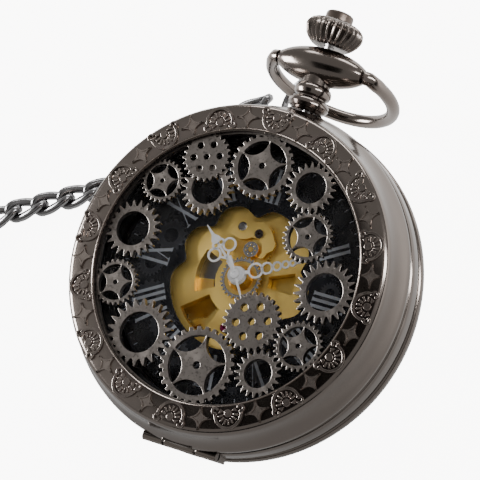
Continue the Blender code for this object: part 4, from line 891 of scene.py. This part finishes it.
class WATCH_OT_hands(bpy.types.Operator):
    """Filigree hour and minute hands and the short sweep hand."""
    bl_idname = "watch.hands"
    bl_label = "Hands"

    def turned_to(self, hand, degrees):
        pick(hand)
        hand.matrix_world = Matrix.Rotation(math.radians(degrees), 4, "Z")
        bpy.ops.object.transform_apply()
        return hand

    def execute(self, context):
        m = MM
        loops = [(4.35 * m, side * 1.22 * m, 0.85 * m) for side in (-1, 1)]
        loops += [(5.35 * m, side * 0.42 * m, 0.42 * m) for side in (-1, 1)]
        stalk = [([(0.9 * m, 0), (2.6 * m, 0)], 0.62 * m), ([(2.4 * m, 0), (5.0 * m, 0)], 0.3 * m),
                 ([(2.9 * m, 0), (3.7 * m, 0.75 * m)], 0.3 * m),
                 ([(2.9 * m, 0), (3.7 * m, -0.75 * m)], 0.3 * m)]
        spade = [[(5.6 * m, -0.55 * m), (6.1 * m, -0.68 * m), (6.9 * m, -0.2 * m), (8.5 * m, -0.06 * m),
                  (8.5 * m, 0.06 * m), (6.9 * m, 0.2 * m), (6.1 * m, 0.68 * m), (5.6 * m, 0.55 * m)]]
        hour = filigree(stalk, loops, spade, 3.0 * m, 3.16 * m, 1.25 * m, 0.95 * m)
        seated(self.turned_to(hour, 140.5), "hour_filigree", MATS["hands"], "hour", "hour_hand",
               slot="silvered_hand")
        loops = [(2.75 * m, 0, 0.95 * m), (4.35 * m, 0, 0.72 * m), (5.75 * m, 0, 0.55 * m),
                 (6.95 * m, 0, 0.45 * m), (7.95 * m, 0, 0.38 * m)]
        stalk = [([(0.8 * m, 0), (1.9 * m, 0)], 0.5 * m)]
        spade = [[(8.3 * m, -0.25 * m), (9.2 * m, -0.3 * m), (11.8 * m, -0.06 * m), (11.8 * m, 0.06 * m),
                  (9.2 * m, 0.3 * m), (8.3 * m, 0.25 * m)]]
        minute = filigree(stalk, loops, spade, 3.55 * m, 3.71 * m, 1.15 * m, 0.42 * m)
        seated(self.turned_to(minute, 26.4), "minute_filigree", MATS["hands"], "minute", "minute_hand",
               slot="silvered_hand")
        low, high = 4.05 * m, 4.21 * m
        hub = spun([(0, high + 0.1 * m), (0.2 * m, high + 0.1 * m), (0.26 * m, high + 0.2 * m),
                    (0.62 * m, high + 0.14 * m), (0.72 * m, high), (0.72 * m, low), (0, low)], 40)
        needle = plate([[(-2.6 * m, -0.2 * m), (-2.0 * m, -0.24 * m), (0, -0.2 * m), (4.6 * m, -0.06 * m),
                         (4.6 * m, 0.06 * m), (0, 0.2 * m), (-2.0 * m, 0.24 * m), (-2.6 * m, 0.2 * m)]],
                       low + 0.01 * m, high)
        arbor = rod(0.3 * m, 0.6 * m, 4.1 * m)
        seconds = joined(hub, needle, arbor)
        seated(self.turned_to(seconds, -54), "sweep_hand", MATS["hands"], "seconds", "seconds_hand",
               slot="silvered_hand")
        return {"FINISHED"}


# ================================================================ pendant, bow and crown
PENDANT_Y = 30.6 * MM
FOLD = math.radians(101)


class WATCH_OT_pendant(bpy.types.Operator):
    """Ringed neck, barrel head and the round bow with its swollen ends."""
    bl_idname = "watch.pendant"
    bl_label = "Pendant and bow"

    def execute(self, context):
        foot = 23.9
        neck = [(0.9, foot + 6.0), (2.0, foot + 6.0), (2.0, foot + 3.95), (2.3, foot + 3.75),
                (2.5, foot + 3.35), (2.55, foot + 2.95), (2.4, foot + 2.5), (2.0, foot + 2.25),
                (2.0, foot + 2.1), (2.45, foot + 1.9), (2.76, foot + 1.5), (2.8, foot + 1.1),
                (2.5, foot + 0.6), (2.05, foot + 0.45), (2.1, foot + 0.3), (2.5, foot + 0.02),
                (0.9, foot + 0.02)]
        body = spun([(r * MM, y * MM) for r, y in neck], 64, "Y")
        half = 6.1
        head = [(0.6, half)]
        stops = 22
        head.append((1.12, half))
        for i in range(-stops, stops + 1):
            share = -i / stops
            head.append((2.6 * math.sqrt(1 - (0.87 * share) ** 2) * (1 - 0.05 * share ** 2), share * 5.9))
        head += [(1.12, -half), (0.6, -half)]
        barrel = spun([(r * MM, x * MM) for r, x in head], 64, "X", (0, PENDANT_Y, 0))
        seated(joined(body, barrel), "pendant_turned", MATS["bow"], "case", "pendant", slot="gunmetal")
        route = [(6.4, 0.0), (7.0, 0.12)]
        bend, steps = math.radians(122), 48
        for i in range(steps + 1):
            angle = bend - 2 * bend * i / steps
            route.append((8.8 * math.sin(angle), 5.6 + 8.8 * math.cos(angle)))
        route += [(-7.0, 0.12), (-6.4, 0.0)]
        c, s = math.cos(FOLD), math.sin(FOLD)
        places = [(x * MM, PENDANT_Y + out * MM * c, -out * MM * s) for x, out in route]
        clear_selection()
        bpy.ops.curve.primitive_bezier_curve_add()
        wire = bpy.context.object
        wire.data.splines.clear()
        line = wire.data.splines.new("POLY")
        line.points.add(len(places) - 1)
        for knot, place in zip(line.points, places):
            knot.co = (*place, 1)
        for knot in (*line.points[:4], *line.points[-4:]):
            knot.radius = 1.08
        wire.data.bevel_depth, wire.data.bevel_resolution = 0.9 * MM, 6
        wire.data.use_fill_caps = True
        pick(wire)
        bpy.ops.object.convert(target="MESH")
        wire = tidy(bpy.context.object, 50)
        pins = [rod(0.5 * MM, *sorted((side * 4.7 * MM, side * 6.8 * MM)), (PENDANT_Y, 0), 20, "X")
                for side in (-1, 1)]
        seated(joined(wire, *pins), "bow_wire", MATS["bow"], "bow", "bow", slot="gunmetal")
        paint("bow_link", "chain")
        return {"FINISHED"}


class WATCH_OT_crown(bpy.types.Operator):
    """Onion crown with deep rounded flutes, and its domed push button."""
    bl_idname = "watch.crown"
    bl_label = "Crown"

    def execute(self, context):
        base, tall, wide, flutes, per = 33.5 * MM, 3.5 * MM, 4.0 * MM, 26, 8
        rows = [(0.40, 0.0, 0.0), (0.62, 0.0, 0.0), (0.70, 0.06, 0.5), (0.80, 0.16, 1.0), (0.91, 0.32, 1.0),
                (0.98, 0.5, 1.0), (1.0, 0.64, 1.0), (0.97, 0.78, 1.0), (0.88, 0.90, 0.9), (0.76, 0.97, 0.6),
                (0.66, 1.0, 0.1), (0.57, 1.0, 0.0), (0.56, 0.97, 0.0), (0.56, 0.36, 0.0), (0.18, 0.36, 0.0),
                (0.18, 0.0, 0.0)]
        crown = spun([(share * wide, base + high * tall) for share, high, _ in rows], flutes * per, "Z")
        deep, near = 0.5 * MM, HAIR * 20
        for share, high, groove in rows:
            if not groove:
                continue
            for step in range(1, per):
                dip = groove * deep * (0.5 - 0.5 * math.cos(math.tau * step / per))
                edit(crown)
                bpy.ops.mesh.select_all(action="DESELECT")
                bpy.ops.object.mode_set(mode="OBJECT")
                for vert in crown.data.vertices:
                    level = abs(vert.co.z - base - high * tall) < near
                    outside = abs(vert.co.xy.length - share * wide) < near
                    place = math.atan2(vert.co.y, vert.co.x) / math.tau * flutes * per
                    if level and outside and round(place) % per == step:
                        vert.select = True
                bpy.ops.object.mode_set(mode="EDIT")
                size = 1 - dip / (share * wide)
                bpy.ops.transform.resize(value=(size, size, 1), center_override=(0, 0, base + high * tall))
        bpy.ops.object.mode_set(mode="OBJECT")
        crown.matrix_world = Matrix.Rotation(math.radians(-90), 4, "X")
        pick(crown)
        bpy.ops.object.transform_apply()
        tidy(crown, 60)
        seated(crown, "onion_crown", MATS["crown"], "crown", "crown", slot="gunmetal")
        low, top, r = 35.83, 38.5, 1.9
        button = spun([(0, top * MM), (1.0 * MM, (top - 0.03) * MM), (1.5 * MM, (top - 0.12) * MM),
                       (1.8 * MM, (top - 0.3) * MM), (r * MM, (top - 0.55) * MM), (r * MM, low * MM),
                       (0, low * MM)], 48, "Y")
        seated(button, "push_button", MATS["button"], "button", "crown_button", slot="lattice_gunmetal")
        return {"FINISHED"}


# ================================================================ stage
class WATCH_OT_camera(bpy.types.Operator):
    """Camera above and to the right of the watch."""
    bl_idname = "watch.camera"
    bl_label = "Camera"

    def execute(self, context):
        data = bpy.data.cameras.new("camera")
        data.lens, data.sensor_width = sizes().lens, 36
        data.clip_start, data.clip_end = 0.01, 20
        camera = bpy.data.objects.new("camera", data)
        context.collection.objects.link(camera)
        camera.location = (0.1642, -0.121962, 0.356304)
        camera.rotation_euler = [math.radians(v) for v in (26.18199, 16.77629, 23.88986)]
        context.scene.camera = camera
        return {"FINISHED"}


class WATCH_OT_stage(bpy.types.Operator):
    """Grey floor that glows: white to the camera, and with a painted glow rising along Y in reflections and
    bounced light; soft overhead light; dark cards for the polished case to mirror.
    """
    bl_idname = "watch.stage"
    bl_label = "Stage"

    def lamp(self, name, place, target, size, power):
        light = bpy.data.lights.new(name, "AREA")
        light.shape, light.size, light.size_y, light.energy = "RECTANGLE", size[0], size[1], power
        thing = bpy.data.objects.new(name, light)
        bpy.context.collection.objects.link(thing)
        thing.location = place
        thing.rotation_euler = (Vector(target) - Vector(place)).to_track_quat("-Z", "Y").to_euler()
        return thing

    def card(self, name, place, target, size, shade):
        clear_selection()
        bpy.ops.mesh.primitive_plane_add(size=1)
        thing = bpy.context.object
        thing.name = name
        thing.scale = (*size, 1)
        thing.location = place
        thing.rotation_euler = (Vector(target) - Vector(place)).to_track_quat("-Z", "Y").to_euler()
        mat, _, shader = nodes_of(name)
        shader.inputs["Base Color"].default_value = (*shade, 1)
        shader.inputs["Roughness"].default_value = 1.0
        shader.inputs["Specular IOR Level"].default_value = 0.0
        thing.data.materials.append(mat)
        thing.visible_shadow = False
        return thing

    def execute(self, context):
        clear_selection()
        bpy.ops.mesh.primitive_plane_add(size=6)
        floor = bpy.context.object
        floor.name = "floor"
        mat, tree, shader = nodes_of("glowing_floor")
        link = tree.links.new
        # Painted glow: the floor is grey and no lamp, yet it emits 9 to camera rays. To all other rays it
        # emits a glow rising along Y from 0.05 to 1.45, which the case reflects and which also lights the
        # watch.
        shader.inputs["Base Color"].default_value = (0.3, 0.3, 0.3, 1)
        shader.inputs["Roughness"].default_value = 0.9
        shader.inputs["Emission Color"].default_value = (1, 0.99, 0.975, 1)
        where = add(tree, "ShaderNodeTexCoord")
        axes = add(tree, "ShaderNodeSeparateXYZ")
        link(where.outputs["Object"], axes.inputs["Vector"])
        painted_glow_along_y = add(tree, "ShaderNodeMapRange")
        painted_glow_along_y.inputs["From Min"].default_value = -0.035
        painted_glow_along_y.inputs["From Max"].default_value = 0.04
        painted_glow_along_y.inputs["To Min"].default_value = 0.05
        painted_glow_along_y.inputs["To Max"].default_value = 1.45
        link(axes.outputs["Y"], painted_glow_along_y.inputs["Value"])
        path = add(tree, "ShaderNodeLightPath")
        seen = add(tree, "ShaderNodeMapRange")
        seen.inputs["To Max"].default_value = 9.0
        link(path.outputs["Is Camera Ray"], seen.inputs["Value"])
        link(painted_glow_along_y.outputs["Result"], seen.inputs["To Min"])
        link(seen.outputs["Result"], shader.inputs["Emission Strength"])
        floor.data.materials.append(mat)
        world = bpy.data.worlds.new("studio")
        context.scene.world = world
        world.use_nodes = True
        backdrop = world.node_tree.nodes["Background"]
        backdrop.inputs["Color"].default_value = (1.0, 0.98, 0.955, 1)
        backdrop.inputs["Strength"].default_value = 0.46
        self.lamp("key", (-0.62, -0.12, 0.30), (0, 0, 0), (0.30, 0.30), 11.0)
        self.lamp("right", (0.42, 0.20, 0.36), (0, 0, 0), (0.10, 0.40), 3.0)
        self.lamp("back", (-0.1, 0.6, 0.30), (0, 0, 0), (0.6, 0.12), 2.5)
        dark = (0.01, 0.009, 0.008)
        self.card("card_above", (-0.07, -0.095, 0.374), (-0.07, -0.095, 0), (0.24, 0.24), dark)
        self.card("card_right", (0.60, 0.05, 0.10), (0, 0, 0.02), (0.9, 0.16), dark)
        self.card("card_front", (0.15, -0.62, 0.12), (0, 0, 0.02), (0.9, 0.20), dark)
        return {"FINISHED"}


class WATCH_PT_panel(bpy.types.Panel):
    """Lists the watch's groups of pieces."""
    bl_label = "Pocket watch"
    bl_idname = "WATCH_PT_panel"
    bl_space_type = "VIEW_3D"
    bl_region_type = "UI"
    bl_category = "Watch"

    def draw(self, context):
        for group in (context.scene.watch_sizes, context.scene.watch_colours):
            for name in group.__annotations__:
                self.layout.prop(group, name)
        for operator in OPERATORS:
            self.layout.operator(operator.bl_idname)


OPERATORS = (WATCH_OT_camera, WATCH_OT_chain, WATCH_OT_case, WATCH_OT_cover, WATCH_OT_ornament,
             WATCH_OT_lattice, WATCH_OT_dial, WATCH_OT_movement, WATCH_OT_hands, WATCH_OT_pendant,
             WATCH_OT_crown, WATCH_OT_stage)
CLASSES = (WATCH_PG_sizes, WATCH_PG_colours, *OPERATORS, WATCH_PT_panel)


def register():
    for cls in CLASSES:
        bpy.utils.register_class(cls)
    bpy.types.Scene.watch_sizes = PointerProperty(type=WATCH_PG_sizes)
    bpy.types.Scene.watch_colours = PointerProperty(type=WATCH_PG_colours)


def unregister():
    del bpy.types.Scene.watch_colours
    del bpy.types.Scene.watch_sizes
    for cls in reversed(CLASSES):
        bpy.utils.unregister_class(cls)


def main():
    register()
    make_materials()
    for operator in OPERATORS:
        group, name = operator.bl_idname.split(".")
        getattr(getattr(bpy.ops, group), name)()


if __name__ == "__main__":
    main()
